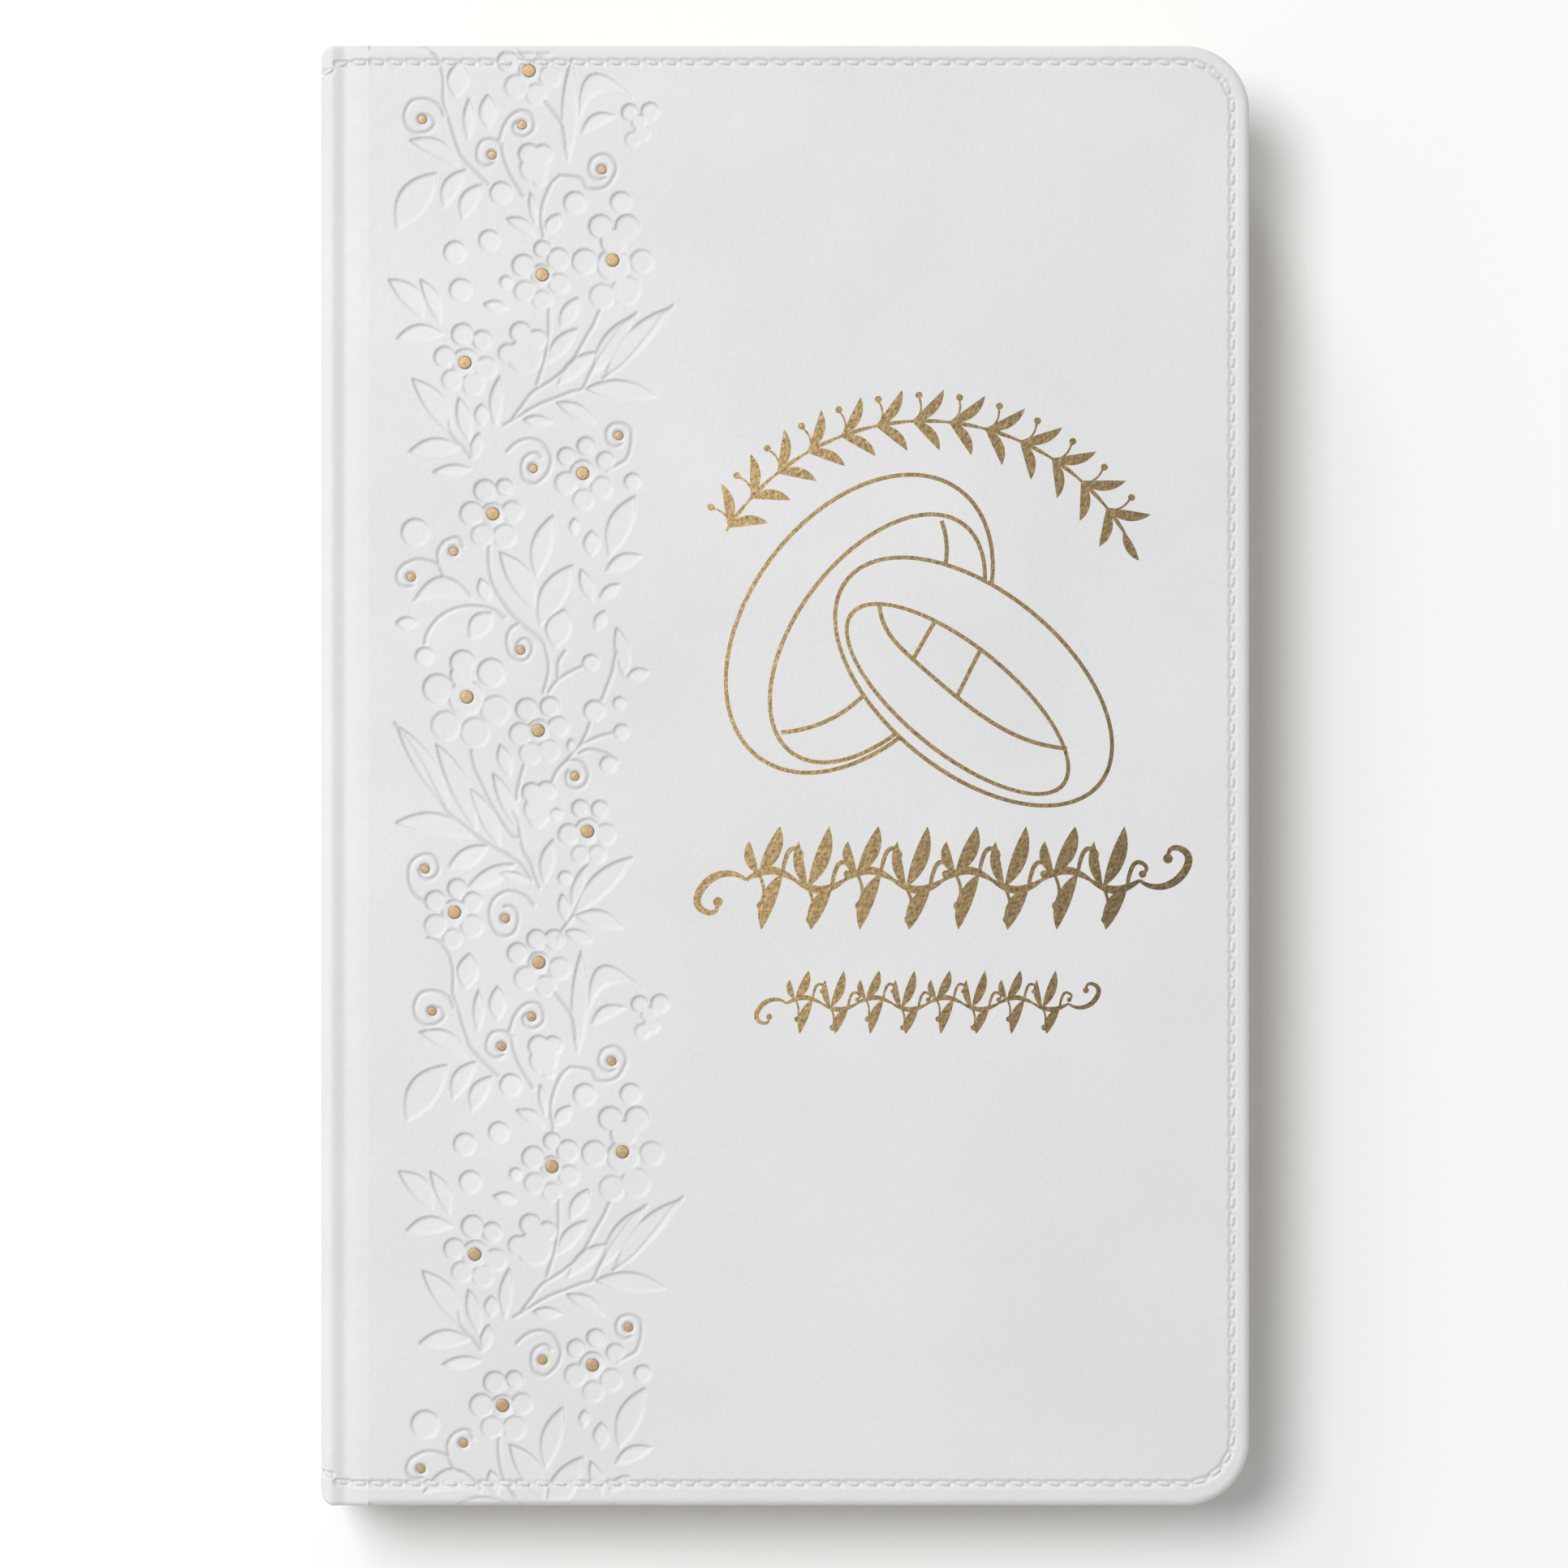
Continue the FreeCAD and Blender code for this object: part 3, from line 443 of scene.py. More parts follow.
LEAVES = [  # (x, y) to (x, y), width, bow to the left on the way
    (21.4, 7.3, 21.3, 13.8, 1.7, 0), (36.1, 1.6, 35.6, 17.2, 2.5, 0), (37.1, 11.4, 45.4, 8.0, 3.0, -4.6),
    (37.4, 12.8, 42.7, 10.1, 2.0, -0.8), (12.6, 13.6, 19.9, 17.6, 2.6, -1.0),
    (16.9, 18.2, 11.0, 26.5, 4.5, 0.6),
    (21.2, 17.7, 17.7, 23.5, 2.6, 0.7), (23.4, 19.8, 20.4, 25.2, 2.6, 0.6), (30.2, 20.8, 31.0, 26.0, 1.3, 0),
    (26.6, 24.8, 31.0, 27.6, 2.0, -0.5), (32.3, 27.1, 34.6, 24.1, 2.2, 0), (23.4, 37.1, 27.1, 37.8, 1.9, 0),
    (9.7, 33.5, 14.9, 39.3, 3.0, -0.8), (14.3, 33.4, 17.2, 40.0, 2.2, -0.5),
    (10.8, 42.2, 17.9, 41.5, 2.6, -0.6),
    (37.2, 36.0, 34.4, 40.6, 2.4, 0), (37.1, 40.5, 32.5, 45.8, 2.4, 0.3), (39.8, 43.9, 34.0, 49.0, 2.4, 0.4),
    (45.5, 38.5, 39.0, 47.5, 3.0, 0.5), (50.7, 37.4, 40.7, 47.9, 3.2, 0.6),
    (37.8, 49.3, 48.5, 50.5, 2.9, -0.5),
    (33.8, 51.2, 39.7, 54.5, 2.2, -0.4), (29.0, 53.7, 33.6, 54.1, 1.8, 0),
    (13.1, 47.7, 18.9, 56.0, 3.2, -0.7),
    (19.9, 50.3, 21.5, 57.0, 2.2, 0), (25.9, 47.2, 25.2, 55.0, 2.0, 0.3), (12.6, 58.4, 20.5, 57.8, 2.7, -0.5),
    (16.0, 61.3, 22.0, 60.7, 1.9, 0), (22.9, 55.4, 22.1, 59.6, 1.9, 0), (45.4, 64.5, 41.5, 73.5, 3.5, 0.5),
    (33.6, 67.2, 31.0, 76.5, 3.0, 0.5), (36.6, 67.7, 36.4, 70.4, 1.6, 0), (13.2, 80.0, 22.0, 79.8, 3.2, -2.2),
    (25.7, 72.6, 30.8, 81.0, 3.5, -0.6), (36.5, 74.4, 31.5, 83.5, 3.8, 0.6), (37.4, 75.0, 39.2, 80.0, 2.0, 0),
    (40.8, 75.7, 46.4, 73.2, 2.3, -0.4), (40.0, 79.5, 43.2, 77.2, 1.8, 0), (23.0, 76.4, 24.2, 80.0, 2.1, 0),
    (10.8, 82.9, 14.1, 82.9, 2.0, 0), (24.9, 81.3, 21.5, 85.3, 3.2, 0.3), (35.2, 80.8, 33.8, 86.6, 3.8, 0.3),
    (41.0, 81.0, 39.5, 84.0, 1.9, 0), (42.5, 83.3, 43.8, 91.0, 2.4, -0.3), (43.8, 90.8, 47.4, 89.8, 2.0, 0),
    (25.8, 100.2, 27.3, 105.0, 2.2, 0), (36.0, 99.4, 36.2, 101.8, 1.5, 0),
    (10.8, 97.3, 18.6, 110.0, 3.0, -0.5),
    (16.5, 100.0, 22.5, 113.0, 3.0, -0.6), (21.4, 106.4, 25.9, 115.5, 2.4, -0.4),
    (24.7, 104.2, 28.2, 112.5, 2.2, -0.3), (10.6, 111.6, 22.2, 113.7, 3.2, -1.0),
    (18.3, 118.1, 24.3, 114.8, 2.8, 0),
    (21.0, 121.0, 28.3, 117.4, 2.6, 0), (25.6, 118.7, 30.4, 120.0, 1.6, 0),
    (33.6, 113.7, 32.2, 120.5, 2.2, 0.3),
    (38.7, 117.2, 36.1, 124.0, 1.8, 0.3), (45.1, 116.3, 36.3, 125.0, 3.2, 0.5),
    (36.4, 124.9, 43.6, 126.8, 2.7, -0.5),
    (35.0, 127.1, 39.2, 128.6, 2.0, 0), (34.7, 121.6, 35.4, 126.0, 1.8, 0), (20.1, 2.2, 19.5, 7.6, 3.3, 0),
    (24.1, 6.9, 24.1, 12.1, 2.6, 0), (23.2, 51.3, 23.2, 54.7, 2.2, 0), (39.0, 69.5, 39.0, 73.5, 2.5, 0),
]
BERRIES = [
    (19.4, 29.7, 1.7), (24.3, 28.0, 1.6), (20.2, 35.1, 1.7), (26.7, 34.0, 1.0), (26.0, 21.2, 1.7),
    (13.7, 69.9, 2.1),
    (44.9, 62.6, 1.3), (38.9, 88.6, 1.3), (39.4, 95.5, 1.6), (43.0, 94.4, 1.0), (43.3, 98.5, 1.2),
    (41.4, 103.2, 1.3),
    (35.2, 119.5, 1.1), (15.0, 87.7, 1.4), (33.9, 110.4, 1.0),
]
FLOWER_DOT = 0.95
SPIRAL_DOT = 0.65


def stitch_places():
    """(x, y, angle) of the stitches round a cover, from the joint at the head to the joint at the tail."""
    radius = CORNER - STITCH_INSET
    x_turn = X_FORE - STITCH_INSET - radius
    head_run = x_turn - X_JOINT
    turn = math.pi / 2 * radius
    fore_run = Y_HEAD_ROW - Y_TAIL_ROW - 2 * radius
    total = 2 * head_run + 2 * turn + fore_run
    count = round(total / STITCH_PITCH)
    places = []
    for i in range(count):
        along = (i + 0.5) * total / count
        if along < head_run:
            places.append((X_JOINT + along, Y_HEAD_ROW, 0.0))
        elif along < head_run + turn:
            a = math.pi / 2 - (along - head_run) / radius
            places.append((x_turn + radius * math.cos(a), Y_HEAD_ROW - radius + radius * math.sin(a),
                           a - math.pi / 2))
        elif along < head_run + turn + fore_run:
            places.append((x_turn + radius, Y_HEAD_ROW - radius - (along - head_run - turn), -math.pi / 2))
        elif along < total - head_run:
            a = -(along - head_run - turn - fore_run) / radius
            places.append((x_turn + radius * math.cos(a), Y_TAIL_ROW + radius + radius * math.sin(a),
                           a - math.pi / 2))
        else:
            places.append((X_JOINT + total - along, Y_TAIL_ROW, math.pi))
    return [(x, y, angle - STITCH_SLANT) for x, y, angle in places]


class Stamp:
    """How deep each place of a cover's face is pressed in."""

    def __init__(self, pitch=0.1, margin=1.0):
        self.pitch = pitch
        self.x = np.arange(X_SPINE - margin, X_FORE + margin, pitch)
        self.y = np.arange(-HALF - margin, HALF + margin, pitch)
        self.drop = np.zeros((len(self.y), len(self.x)))
        # Darkening of the leather's base colour: painted shade in grooves and on walls facing away from the
        # light, partly burnish.
        self.burnish_and_shade = np.zeros_like(self.drop)

    def window(self, points, margin):
        points = np.asarray(points, float)
        i = np.searchsorted(self.x, [points[:, 0].min() - margin, points[:, 0].max() + margin])
        j = np.searchsorted(self.y, [points[:, 1].min() - margin, points[:, 1].max() + margin])
        x, y = np.meshgrid(self.x[i[0]:i[1]], self.y[j[0]:j[1]])
        return (slice(*j), slice(*i)), x, y

    def press(self, where, drop, burnish_and_shade=0.0):
        self.drop[where] = np.maximum(self.drop[where], drop)
        self.burnish_and_shade[where] = np.maximum(self.burnish_and_shade[where], burnish_and_shade)

    def plateau(self, where, x, y, distance, depth, wall=0.24):
        """Flat-bottomed shape, deepest towards the head and the spine."""
        if not distance.size or distance.min() > 0:
            return
        inside = distance < 0
        centre = x[inside].mean(), y[inside].mean()
        along = (x - centre[0]) * 0.35 - (y - centre[1]) * 0.94
        reach = max(np.abs(along[inside]).max(), 0.1)
        tilt = 0.7 - 0.3 * np.clip(along / reach, -1, 1)
        pressed = ramp(-distance / wall)
        # Painted shade, partly burnish: the walls towards the head, which face away from the light, are
        # darkened in the base colour.
        away_from_light = ramp(-along / reach * 1.4 + 0.15)
        self.press(where, depth * tilt * pressed, 0.42 * away_from_light * 4 * pressed * (1 - pressed))

    def groove(self, points, depth):
        path = smooth_path(points)
        where, x, y = self.window(path, 1.0)
        if x.size:
            distance = path_distance(x, y, path)
            pressed = ramp(1 - distance / GROOVE_HALF_WIDTH)
            # The groove's floor is darkened in the base colour: painted shade, partly burnish.
            self.press(where, depth * pressed, 0.32 * pressed ** 2)

    def sample(self, x, y, field=None):
        """Bilinear value at places on the cover."""
        u = np.clip((np.asarray(x) - self.x[0]) / self.pitch, 0, len(self.x) - 1.001)
        v = np.clip((np.asarray(y) - self.y[0]) / self.pitch, 0, len(self.y) - 1.001)
        i, j = u.astype(int), v.astype(int)
        a, b = u - i, v - j
        d = self.drop if field is None else field
        low = d[j, i] * (1 - a) + d[j, i + 1] * a
        high = d[j + 1, i] * (1 - a) + d[j + 1, i + 1] * a
        return low * (1 - b) + high * b


def path_distance(x, y, path):
    best = np.full(x.shape, 1e9)
    for (x0, y0), (x1, y1) in zip(path, path[1:]):
        dx, dy = x1 - x0, y1 - y0
        t = np.clip(((x - x0) * dx + (y - y0) * dy) / max(dx * dx + dy * dy, 1e-9), 0, 1)
        np.minimum(best, np.hypot(x - x0 - t * dx, y - y0 - t * dy), out=best)
    return best


def leaf_distance(x, y, leaf):
    x0, y0, x1, y1, width, bow = leaf
    half = math.hypot(x1 - x0, y1 - y0) / 2
    ux, uy = (x1 - x0) / (2 * half), (y1 - y0) / (2 * half)
    dx, dy = x - (x0 + x1) / 2, y - (y0 + y1) / 2
    u = (dx * ux + dy * uy) / half
    v = dy * ux - dx * uy
    swell = 1 - np.clip(u, -1, 1) ** 2
    across = np.abs(v - bow * swell) - width / 2 * swell
    return np.maximum(across, (np.abs(u) - 1) * half)


def stitch_dimples(stamp, places):
    half = STITCH_LENGTH / 2 - 0.1
    for x, y, angle in places:
        ends = [(x - half * math.cos(angle), y - half * math.sin(angle)),
                (x + half * math.cos(angle), y + half * math.sin(angle))]
        where, px, py = stamp.window(ends, 1.0)
        distance = path_distance(px, py, ends)
        stamp.press(where, DIMPLE_DEPTH * ramp((DIMPLE_HALF_WIDTH - distance) / 0.3))


def on_band(x, y, number):
    """Place on the cover of a place in one repeat of the pattern."""
    return X_SPINE + x + number * REPEAT_SHIFT, HALF - y - number * REPEAT


def stamped_pattern(stamp):
    for number in range(2):
        for _, petals in FLOWERS:
            discs = [(*on_band(x, y, number), r) for x, y, r in petals]
            where, x, y = stamp.window([d[:2] for d in discs], 3.0)
            if x.size:
                distance = np.min([np.hypot(x - px, y - py) - r for px, py, r in discs], axis=0)
                stamp.plateau(where, x, y, distance, FLOWER_DEPTH)
        for px, py, r in BERRIES:
            px, py = on_band(px, py, number)
            where, x, y = stamp.window([(px, py)], r + 1)
            if x.size:
                stamp.plateau(where, x, y, np.hypot(x - px, y - py) - r, BERRY_DEPTH)
        for x0, y0, x1, y1, width, bow in LEAVES:
            a, b = on_band(x0, y0, number), on_band(x1, y1, number)
            where, x, y = stamp.window([a, b], abs(bow) + width)
            if x.size:
                distance = leaf_distance(x, y, (*a, *b, width, -bow))
                stamp.plateau(where, x, y, distance, LEAF_DEPTH)
        for stem in STEMS:
            stamp.groove([on_band(x, y, number) for x, y in stem], STEM_DEPTH)
        for _, spiral in SPIRALS:
            stamp.groove([on_band(x, y, number) for x, y in spiral], SPIRAL_DEPTH)
        for dot, radius in gold_dots(number):
            where, x, y = stamp.window([dot], radius + 1)
            if x.size:
                distance = np.hypot(x - dot[0], y - dot[1])
                stamp.press(where, DOT_HOLE_DEPTH * ramp((radius + 0.26 - distance) / 0.22))


def gold_dots(number):
    """Gold centres in one repeat that lie inside the stitching."""
    for shapes, radius in ((FLOWERS, FLOWER_DOT), (SPIRALS, SPIRAL_DOT)):
        for dot, _ in shapes:
            if dot:
                x, y = on_band(*dot, number)
                if Y_TAIL_ROW + radius < y < Y_HEAD_ROW - radius:
                    yield (x, y), radius


# ---- Covers ----
def rim_places(head_x):
    """Base points and outward directions round the open edges of a cover, from head to tail."""
    x_in, y_in = X_FORE - CORNER, HALF - CORNER
    fan = np.linspace(0, math.pi / 2, 46)[1:-1]
    base, way = [], []
    for x in head_x:
        base.append((x, y_in))
        way.append((0.0, 1.0))
    for a in fan:
        base.append((x_in, y_in))
        way.append((math.sin(a), math.cos(a)))
    for y in spaced(y_in, (-y_in, 0.3)):
        base.append((x_in, y))
        way.append((1.0, 0.0))
    for a in fan:
        base.append((x_in, -y_in))
        way.append((math.cos(a), -math.sin(a)))
    for x in head_x[::-1]:
        base.append((x, -y_in))
        way.append((0.0, -1.0))
    return np.array(base), np.array(way)


def cover_leather(name, front):
    """Leather of a cover: stamped face, soft edge and the turned-in rim inside."""
    outer, inner = Stamp(), Stamp()
    places = stitch_places()
    stitch_dimples(outer, places)
    stitch_dimples(inner, places)
    if front:
        stamped_pattern(outer)
    fine = 0.19
    band_pitch = fine if front else 0.35
    head_x = spaced(X_JOINT, (BAND_START, 0.3), (BAND_END, band_pitch), (X_FORE - CORNER, 0.35))
    base, way = rim_places(head_x)
    flat = CORNER - EDGE_ROUND
    quarter = np.linspace(0, math.pi / 2, 7)
    rows = [(r, 0.0, outer) for r in spaced(0.0, (flat - 3.6, fine if front else 1.0), (flat, 0.2))]
    rows += [(flat + EDGE_ROUND * math.sin(a), EDGE_ROUND * (1 - math.cos(a)), None) for a in quarter[1:]]
    rows += [(flat + EDGE_ROUND * math.cos(a), CASE - EDGE_ROUND * (1 - math.sin(a)), None)
             for a in quarter[:-1]]
    rows += [(r, CASE, inner) for r in spaced(flat, (flat - 3.6, 0.2), (0.0, 1.5))]
    points = []
    for reach, drop, stamp in rows:
        place = base + way * reach
        depth = np.full(len(place), drop)
        if stamp is outer:
            depth = depth + stamp.sample(place[:, 0], place[:, 1]) * ramp((CORNER - reach - 0.9) / 0.6 + 0.35)
        elif stamp is inner:
            depth = depth - stamp.sample(place[:, 0], place[:, 1])
        points.append(np.column_stack([place, TOP - depth]))
    points = np.concatenate(points)
    faces = [grid_faces(len(rows), len(base))]
    y_in = HALF - CORNER
    fields = [(spaced(X_JOINT, (BAND_END, fine)), spaced(-y_in, (y_in, fine))),
              (spaced(BAND_END, (X_FORE - CORNER, 2.0)), spaced(-y_in, (y_in, 2.0)))]
    if not front:
        fields = [(spaced(X_JOINT, (X_FORE - CORNER, 2.0)), spaced(-y_in, (y_in, 2.0)))]
    for xs, ys in fields:
        x, y = np.meshgrid(xs, ys)
        z = TOP - outer.sample(x, y)
        faces.append(grid_faces(len(ys), len(xs), len(points)))
        points = np.concatenate([points, np.column_stack([x.ravel(), y.ravel(), z.ravel()])])
    spine_end = np.arange(len(rows)) * len(base)
    for loop in (spine_end, (spine_end + len(base) - 1)[::-1]):
        half = len(loop) // 2 - 1
        ladder = np.arange(len(loop)) + len(points)
        back = ladder[::-1]
        faces.append(np.column_stack([ladder[:half], ladder[1:half + 1], back[1:half + 1], back[:half]]))
        points = np.concatenate([points, points[loop]])
    if not front:
        points[:, 2] = TOP - points[:, 2]
        faces = [f[:, ::-1] for f in faces]
    piece = make_piece(name, points, np.concatenate(faces), WHITE_LEATHER)
    if front:
        # The stamp's painted shade, partly burnish, is stored on the face's points for the material.
        on_top = points[:, 2] > TOP - CASE / 2
        burnish_and_shade = outer.sample(points[:, 0], points[:, 1], outer.burnish_and_shade) * on_top
        tint = piece.data.attributes.new("burnish_and_shade", "FLOAT", "POINT")
        tint.data.foreach_set("value", burnish_and_shade.astype(np.float32))
    return piece


def thread_template(twists=3.0):
    """One stitch along X: two twisted strands whose ends dive into the leather."""
    rings, sides = 15, 12
    points = []
    for q in np.linspace(-1, 1, rings):
        swell = STITCH_RADIUS * (1 - abs(q) ** 5) ** 0.5 if abs(q) < 1 else 0.02
        for k in range(sides):
            a = 2 * math.pi * k / sides
            r = swell * (1 + 0.13 * math.cos(2 * (a - twists * q * math.pi / 2)))
            z = r * math.sin(a) * 0.9 - 0.2 * abs(q) ** 3
            points.append((q * STITCH_LENGTH / 2, r * math.cos(a) * 1.08, z))
    return np.array(points), grid_faces(rings, sides, closed=True)


def thread_row(name, frames):
    """Stitches placed by (middle, along, across, up) unit vectors."""
    template, faces = thread_template()
    points, all_faces = [], []
    for number, (middle, along, across, up) in enumerate(frames):
        axes = np.array([along, across, up])
        points.append(np.asarray(middle) + template @ axes)
        all_faces.append(faces + number * len(template))
    return make_piece(name, np.concatenate(points), np.concatenate(all_faces), THREAD)


def cover_stitching(name, z_middle, up):
    frames = []
    for x, y, angle in stitch_places():
        along = np.array([math.cos(angle), math.sin(angle), 0.0])
        normal = np.array([0.0, 0.0, up])
        frames.append(((x, y, z_middle), along, np.cross(normal, along), normal))
    return thread_row(name, frames)


# ---- Joints and spine ----
def plan_end(x):
    """Half length of the case at x, with its soft spine corners."""
    past = np.clip(SPINE_CORNER - (np.asarray(x) - X_SPINE), 0.0, SPINE_CORNER)
    return HALF - SPINE_CORNER + np.sqrt(SPINE_CORNER ** 2 - past ** 2)


def row_shift(x):
    """How far the stitched row bends in where it nears the spine's corner."""
    return ROW_BEND * np.clip(1 - (np.asarray(x) - X_SPINE) / ROW_BEND_RUN, 0, 1) ** 2


def joint_profile():
    """Outside of the joint leather from the spine up to the cover: (x, z) points."""
    return smooth_path([
        (X_SPINE + 0.3, TOP - JOINT_DROP), (X_SPINE + 0.05, TOP - 2.2), (X_SPINE + 1.3, TOP - 0.3),
        (X_SPINE + 3.6, TOP - 0.48), (X_SPINE + 5.4, TOP - 0.15), (X_JOINT, TOP),
    ], 14)


def spine_profile():
    z = np.linspace(JOINT_DROP, TOP - JOINT_DROP, 64)
    middle = TOP / 2
    bulge = 1 - ((z - middle) / (middle - JOINT_DROP)) ** 2
    return np.column_stack([X_SPINE + 0.3 - 0.3 * bulge, z])


def profile_normals(profile):
    way = np.gradient(profile, axis=0)
    way /= np.linalg.norm(way, axis=1)[:, None]
    return np.column_stack([way[:, 1], -way[:, 0]])


def row_stitches(profile, row_y):
    """Length along the profile at each of its points, and (length, y) of each stitch over it."""
    length = np.concatenate([[0], np.cumsum(np.linalg.norm(np.diff(profile, axis=0), axis=1))])
    count = round(length[-1] / STITCH_PITCH)
    found = []
    for i in range(count):
        at = (i + 0.5) * length[-1] / count
        x = np.interp(at, length, profile[:, 0])
        found.append((at, row_y - math.copysign(float(row_shift(x)), row_y)))
    return length, found


def leather_strip(name, profile, end_thickness, mirrored_z=False):
    """Leather bent round the profile and run from tail to head, turned in at both ends."""
    inward = profile_normals(profile)
    length, _ = row_stitches(profile, Y_HEAD_ROW)
    stitches = row_stitches(profile, Y_HEAD_ROW)[1] + row_stitches(profile, Y_TAIL_ROW)[1]
    edge = min(end_thickness / 2, EDGE_ROUND)
    near = spaced(0.0, (6.0, 0.14))
    body = spaced(6.0, (2 * HALF - 6.0, 4.0))[1:]
    runs = np.concatenate([near, body, 2 * HALF - near[::-1][1:]]) / (2 * HALF)
    points = []
    for (x, z), (nx, nz), s in zip(profile, inward, length):
        def end(depth):
            return float(plan_end(x + nx * depth)) - edge

        loop = []
        ys = -end(0.0) + runs * 2 * end(0.0)
        dimple = np.zeros(len(ys))
        for at, y in stitches:
            along = np.clip(s - at, -STITCH_LENGTH / 2 + 0.1, STITCH_LENGTH / 2 - 0.1)
            distance = np.hypot(s - at - along, ys - y)
            dimple = np.maximum(dimple, DIMPLE_DEPTH * ramp((DIMPLE_HALF_WIDTH - distance) / 0.3))
        loop += [(d, y) for d, y in zip(dimple, ys)]
        for a in np.linspace(0, math.pi, 11)[1:-1]:
            depth = end_thickness / 2 * (1 - math.cos(a))
            loop.append((depth, end(depth) + edge * math.sin(a)))
        tuck = end(0.0) - 9.0
        loop += [(end_thickness, end(end_thickness)), (end_thickness, tuck + 1), (LEATHER, tuck),
                 (LEATHER, -tuck), (end_thickness, -tuck - 1), (end_thickness, -end(end_thickness))]
        for a in np.linspace(math.pi, 0, 11)[1:-1]:
            depth = end_thickness / 2 * (1 - math.cos(a))
            loop.append((depth, -end(depth) - edge * math.sin(a)))
        points.append([(x + nx * d, y, z + nz * d) for d, y in loop])
    points = np.array(points)
    rows, columns = points.shape[:2]
    points = points.reshape(-1, 3)
    faces = grid_faces(rows, columns, closed=True)
    if mirrored_z:
        points[:, 2] = TOP - points[:, 2]
        faces = faces[:, ::-1]
    return make_piece(name, points, faces[:, ::-1], WHITE_LEATHER)


def strip_stitching(name, profile, mirrored_z=False):
    inward = profile_normals(profile)
    frames = []
    for row_y in (Y_HEAD_ROW, Y_TAIL_ROW):
        length, found = row_stitches(profile, row_y)
        for at, y in found:
            x, z = (np.interp(at, length, profile[:, k]) for k in (0, 1))
            n = np.array([np.interp(at, length, inward[:, k]) for k in (0, 1)])
            n /= np.linalg.norm(n)
            out = np.array([-n[0], 0.0, -n[1]])
            along = np.array([-n[1], 0.0, n[0]])
            short = max(0.0, 1 - (x - X_SPINE) / ROW_BEND_RUN)
            bend = 2 * ROW_BEND * short / ROW_BEND_RUN
            along[1] = math.copysign(abs(along[0]) * bend, row_y) * np.sign(along[0])
            along /= np.linalg.norm(along)
            middle = np.array([x, y, z]) - out * 0.28
            frames.append((middle, along, np.cross(out, along), out))
    if mirrored_z:
        flip = np.array([1.0, 1.0, -1.0])
        frames = [(m * flip + np.array([0, 0, TOP]), a * flip, -np.cross(o * flip, a * flip) * -1, o * flip)
                  for m, a, c, o in frames]
    return thread_row(name, frames)


# ---- Gold ----
def gold_dot_piece():
    """Small, almost flat gold discs sunk in the flower and tendril centres."""
    rings, sides = 5, 28
    points, faces = [], []
    for number in range(2):
        for (x, y), radius in gold_dots(number):
            start = len(points)
            for k in range(rings):
                r = radius * (1 - k / (rings - 0.5))
                z = TOP - DOT_DEPTH + DOT_SWELL * (1 - (r / radius) ** 2)
                points += [(x + r * math.cos(t), y + r * math.sin(t), z)
                           for t in np.linspace(0, 2 * math.pi, sides, endpoint=False)]
            points += [(x + radius * math.cos(t), y + radius * math.sin(t), TOP - DOT_HOLE_DEPTH)
                       for t in np.linspace(0, 2 * math.pi, sides, endpoint=False)]
            faces += (grid_faces(rings, sides, start, closed=True)).tolist()
            last = start + (rings - 1) * sides
            faces.append(list(range(last, last + sides)))
            rim = start + rings * sides
            faces += [[rim + k, rim + (k + 1) % sides, start + (k + 1) % sides, start + k]
                      for k in range(sides)]
    return make_piece("gold_flower_dots", points, faces, DOT_GOLD)


# ---- Paper ----
def bent_leaf(name, z_low, z_high, material):
    """Leaf from the gutter to the fore edge, finely divided near its inner edge."""
    xs = np.concatenate([spaced(X_PAGES_IN + 0.3, (X_PAGES_IN + 9.0, 0.3)),
                         spaced(X_PAGES_IN + 9.0, (X_PAGES - PAGE_CORNER, 6.0))[1:],
                         spaced(X_PAGES - PAGE_CORNER, (X_PAGES, 0.4))[1:]])
    past = np.clip(xs - (X_PAGES - PAGE_CORNER), 0, PAGE_CORNER)
    ends = HALF_PAGES - PAGE_CORNER + np.sqrt(PAGE_CORNER ** 2 - past ** 2)
    share = np.linspace(-1, 1, 41)
    top = np.array([[(x, e * t, z_high) for t in share] for x, e in zip(xs, ends)]).reshape(-1, 3)
    low = top.copy()
    low[:, 2] = z_low
    rows, columns = len(xs), len(share)
    faces = [grid_faces(rows, columns), grid_faces(rows, columns, len(top))[:, ::-1]]
    index = np.arange(rows * columns).reshape(rows, columns)
    border = np.concatenate([index[0, :-1], index[:-1, -1], index[-1, :0:-1], index[:0:-1, 0]])
    after = np.roll(border, -1)
    faces.append(np.column_stack([border, after, after + len(top), border + len(top)]))
    points = np.concatenate([top, low])
    return make_piece(name, points, np.concatenate(faces)[:, ::-1], material, smooth=False)


def endpaper_hinge(name, mirrored_z=False):
    """Endpaper that runs from the pastedown across the joint to the text block."""
    z_paste = TOP - CASE - PASTEDOWN
    path = smooth_path([(X_PAGES_IN + 0.25, Z_PAGES_TOP - 0.2), (X_PAGES_IN + 0.2, z_paste - 0.35),
                        (X_PAGES_IN + 0.7, z_paste - 0.03), (X_PAGES_IN + 2.5, z_paste - 0.02),
                        (X_JOINT + 1.5, z_paste - 0.02)], 8)
    share = np.linspace(-1, 1, 9)
    points = np.array([[(x, (HALF_PAGES - 0.8) * t, z) for t in share] for x, z in path]).reshape(-1, 3)
    faces = grid_faces(len(path), len(share))
    if mirrored_z:
        points[:, 2] = TOP - points[:, 2]
    return make_piece(name, points, faces, ENDPAPER)


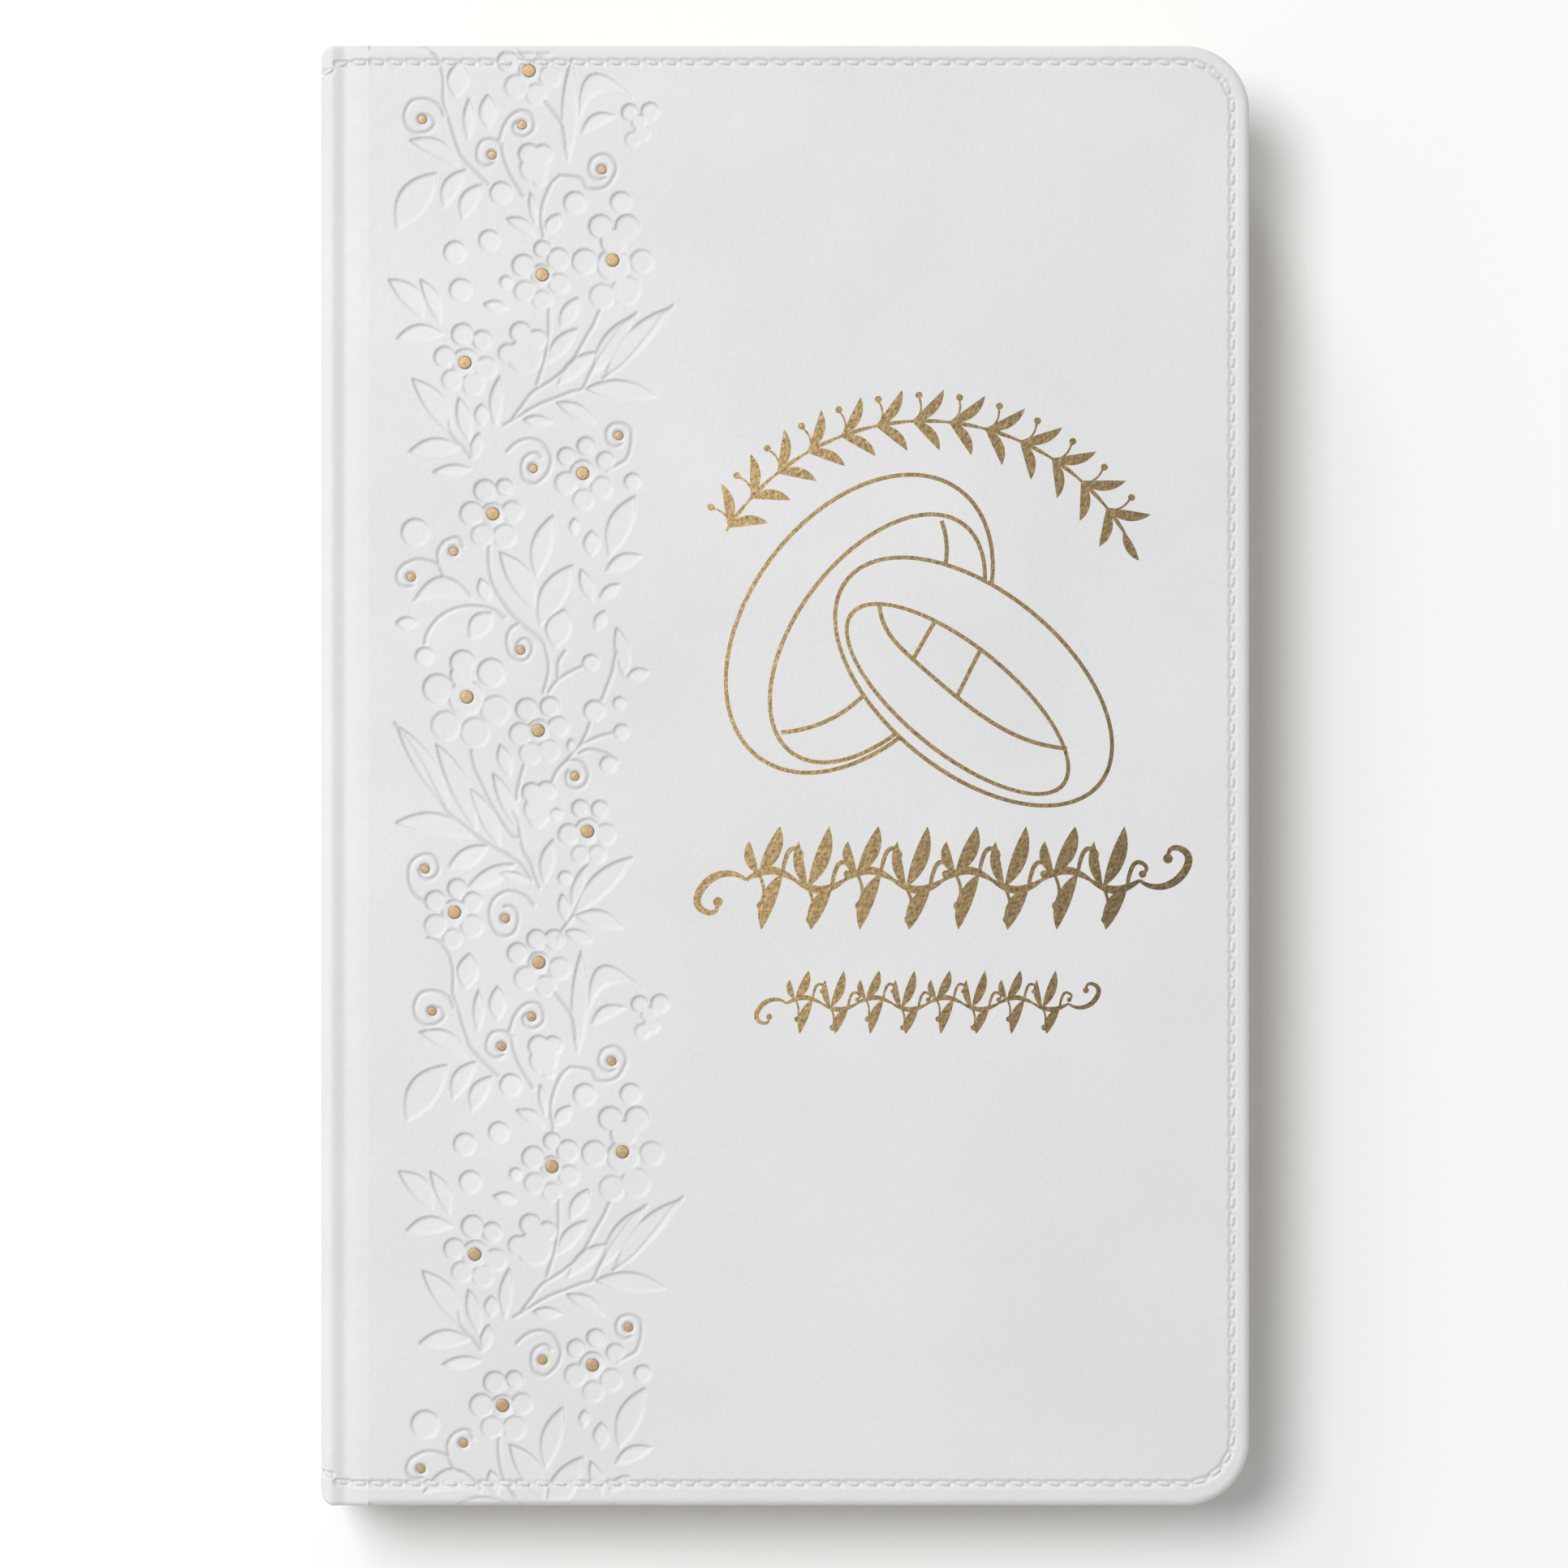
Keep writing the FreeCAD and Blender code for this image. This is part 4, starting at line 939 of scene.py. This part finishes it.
def end_band(name, hand):
    """Headband or tailband: silk wound over a cord in two colours, on its cloth tongue."""
    (x_low, y_low, z_low), (x_high, y_high, z_high) = box_mm(name)
    radius = (x_high - x_low) / 2
    x_mid = x_low + radius
    y_mid = y_high - radius if hand > 0 else y_low + radius
    wraps = 30
    per = 6
    rows = wraps * per + 1
    sides = 16
    points = []
    for k in range(rows):
        t = k / (rows - 1)
        pinch = abs(math.sin(math.pi * wraps * t))
        r = radius * (0.84 + 0.16 * pinch ** 0.6)
        for s in range(sides):
            a = 2 * math.pi * s / sides
            points.append((x_mid + r * math.cos(a), y_mid + r * math.sin(a), z_low + (z_high - z_low) * t))
    band_faces = grid_faces(rows, sides, closed=True)
    faces = band_faces.tolist() + [list(range(sides))[::-1], list(range((rows - 1) * sides, rows * sides))]
    start = len(points)
    y_far = y_low if hand > 0 else y_high
    corners = [(x_low, y_mid), (x_low, y_far), (x_low + 0.3, y_far), (x_low + 0.3, y_mid)]
    for z in (z_low, z_high):
        points += [(x, y, z) for x, y in corners]
    faces += [[start + k, start + (k + 1) % 4, start + 4 + (k + 1) % 4, start + 4 + k] for k in range(4)]
    faces += [[start, start + 3, start + 2, start + 1], [start + 4, start + 5, start + 6, start + 7]]
    piece = make_piece("silk_" + name, points, faces, [SILK, SILK_GOLD])
    wrap = (np.arange(len(band_faces)) // sides) // per
    index = np.zeros(len(faces), int)
    index[:len(wrap)] = (wrap // 2) % 2
    piece.data.polygons.foreach_set("material_index", index.tolist())
    return piece


# ---- Put the book together ----
def assemble():
    joint = joint_profile()
    spine = spine_profile()
    for side, front in (("front", True), ("back", False)):
        body = side + "_cover"
        z = (lambda v: v) if front else (lambda v: TOP - v)
        up = 1 if front else -1
        leather = cover_leather(side + "_leather_skin", front)
        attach(leather, body)
        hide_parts(side + "_cover_leather")
        rows = ((side + "_edge_stitches", side + "_stitching", TOP - 0.27, up),
                (side + "_inside_stitches", side + "_inner_stitching", TOP - CASE + 0.27, -up))
        for name, node, middle, way in rows:
            stitches = cover_stitching(name, z(middle), way)
            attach(stitches, body)
            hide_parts(node)
        strip = leather_strip(side + "_joint_skin", joint, STRIP_END, not front)
        threads = strip_stitching(side + "_joint_stitches", joint, not front)
        paper = endpaper_hinge(side + "_endpaper_hinge", not front)
        start = (X_SPINE * MM, 0, z(TOP - JOINT_DROP) * MM)
        end = (X_JOINT * MM, 0, z(TOP) * MM)
        for piece in (strip, threads):
            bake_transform(piece)
        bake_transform(paper)
        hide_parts(side + "_joint_leather")
        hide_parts(side + "_joint_stitching")
    skin = leather_strip("spine_skin", spine, SPINE_END)
    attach(skin, "text_block")
    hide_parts("spine_leather")
    threads = strip_stitching("spine_stitches", spine)
    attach(threads, "text_block")
    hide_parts("spine_stitching")
    dots = gold_dot_piece()
    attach(dots, "front_cover")
    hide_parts("foil_flower_dots")
    leaves = (("front_flyleaf", ENDPAPER, "endpaper"), ("presentation_leaf", PAPER, "page_paper"),
              ("title_leaf", PAPER, "page_paper"), ("back_flyleaf", ENDPAPER, "endpaper"))
    for node, material, slot in leaves:
        (_, _, low), (_, _, high) = box_mm(node)
        leaf = bent_leaf(node + "_sheet", low, high, material)
        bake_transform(leaf)
        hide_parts(node)
    for node, hand in (("head_band", 1), ("tail_band", -1)):
        band = end_band(node, hand)
        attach(band, "text_block")
        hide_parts(node)


def paint_nodes():
    looks = {"foil": GOLD, "section": PAGES, "sewing": LINEN, "spine_mull": MULL, "spine_liner": KRAFT,
             "spine_inlay": KRAFT, "board": BOARD, "infill": KRAFT, "pastedown": ENDPAPER,
             "leather": WHITE_LEATHER, "stitching": THREAD, "band": SILK, "leaf": PAPER}
    for name, node in nodes.items():
        for word, material in looks.items():
            if word in name:
                node.data.materials.clear()
                node.data.materials.append(material)
                break


# ---- Studio ----
def soft_lamp(name, azimuth, elevation, size, energy, distance=4.1):
    """Round soft light, azimuth degrees left of the head and elevation degrees above the floor."""
    a, e = math.radians(azimuth), math.radians(elevation)
    toward = Vector((-math.sin(a) * math.cos(e), math.cos(a) * math.cos(e), math.sin(e)))
    light = bpy.data.lights.new(name, "AREA")
    light.shape = "DISK"
    light.size = size
    light.energy = energy
    lamp = bpy.data.objects.new(name, light)
    lamp.location = toward * distance
    lamp.rotation_mode = "QUATERNION"
    lamp.rotation_quaternion = toward.to_track_quat("Z", "Y")
    bpy.context.scene.collection.objects.link(lamp)


def stage():
    floor_material = Shader("floor", (0.9, 0.9, 0.9), 0.9, Specular_IOR_Level=0.1)
    floor_material.set("Base Color", floor_material.blend(floor_material.noise(400.0), (0.9, 0.9, 0.9),
                                                          (0.91, 0.91, 0.91)))
    size = 4000.0
    corners = [(-size, -size, -0.05), (size, -size, -0.05), (size, size, -0.05), (-size, size, -0.05)]
    floor = make_piece("floor", corners, [[0, 1, 2, 3]], floor_material.material)
    world = bpy.data.worlds.new("studio")
    world.use_nodes = True
    world.node_tree.nodes["Background"].inputs["Color"].default_value = (1, 1, 1, 1)
    world.node_tree.nodes["Background"].inputs["Strength"].default_value = 0.41
    bpy.context.scene.world = world
    soft_lamp("key", azimuth=52, elevation=67, size=1.7, energy=104.0)
    soft_lamp("rake", azimuth=24, elevation=26, size=1.1, energy=33.0)
    soft_lamp("spine_side", azimuth=90, elevation=25, size=0.28, energy=0.15, distance=0.34)
    camera = bpy.data.cameras.new("camera")
    camera.lens = 160
    camera.sensor_width = 36
    eye = bpy.data.objects.new("camera", camera)
    eye.location = (-0.1 * MM, -1.2 * MM, TOP * MM + 1.0)
    bpy.context.scene.collection.objects.link(eye)
    bpy.context.scene.camera = eye
    bpy.context.scene.view_settings.view_transform = "Standard"
    bpy.context.scene.view_settings.look = "None"


paint_nodes()
assemble()
stage()
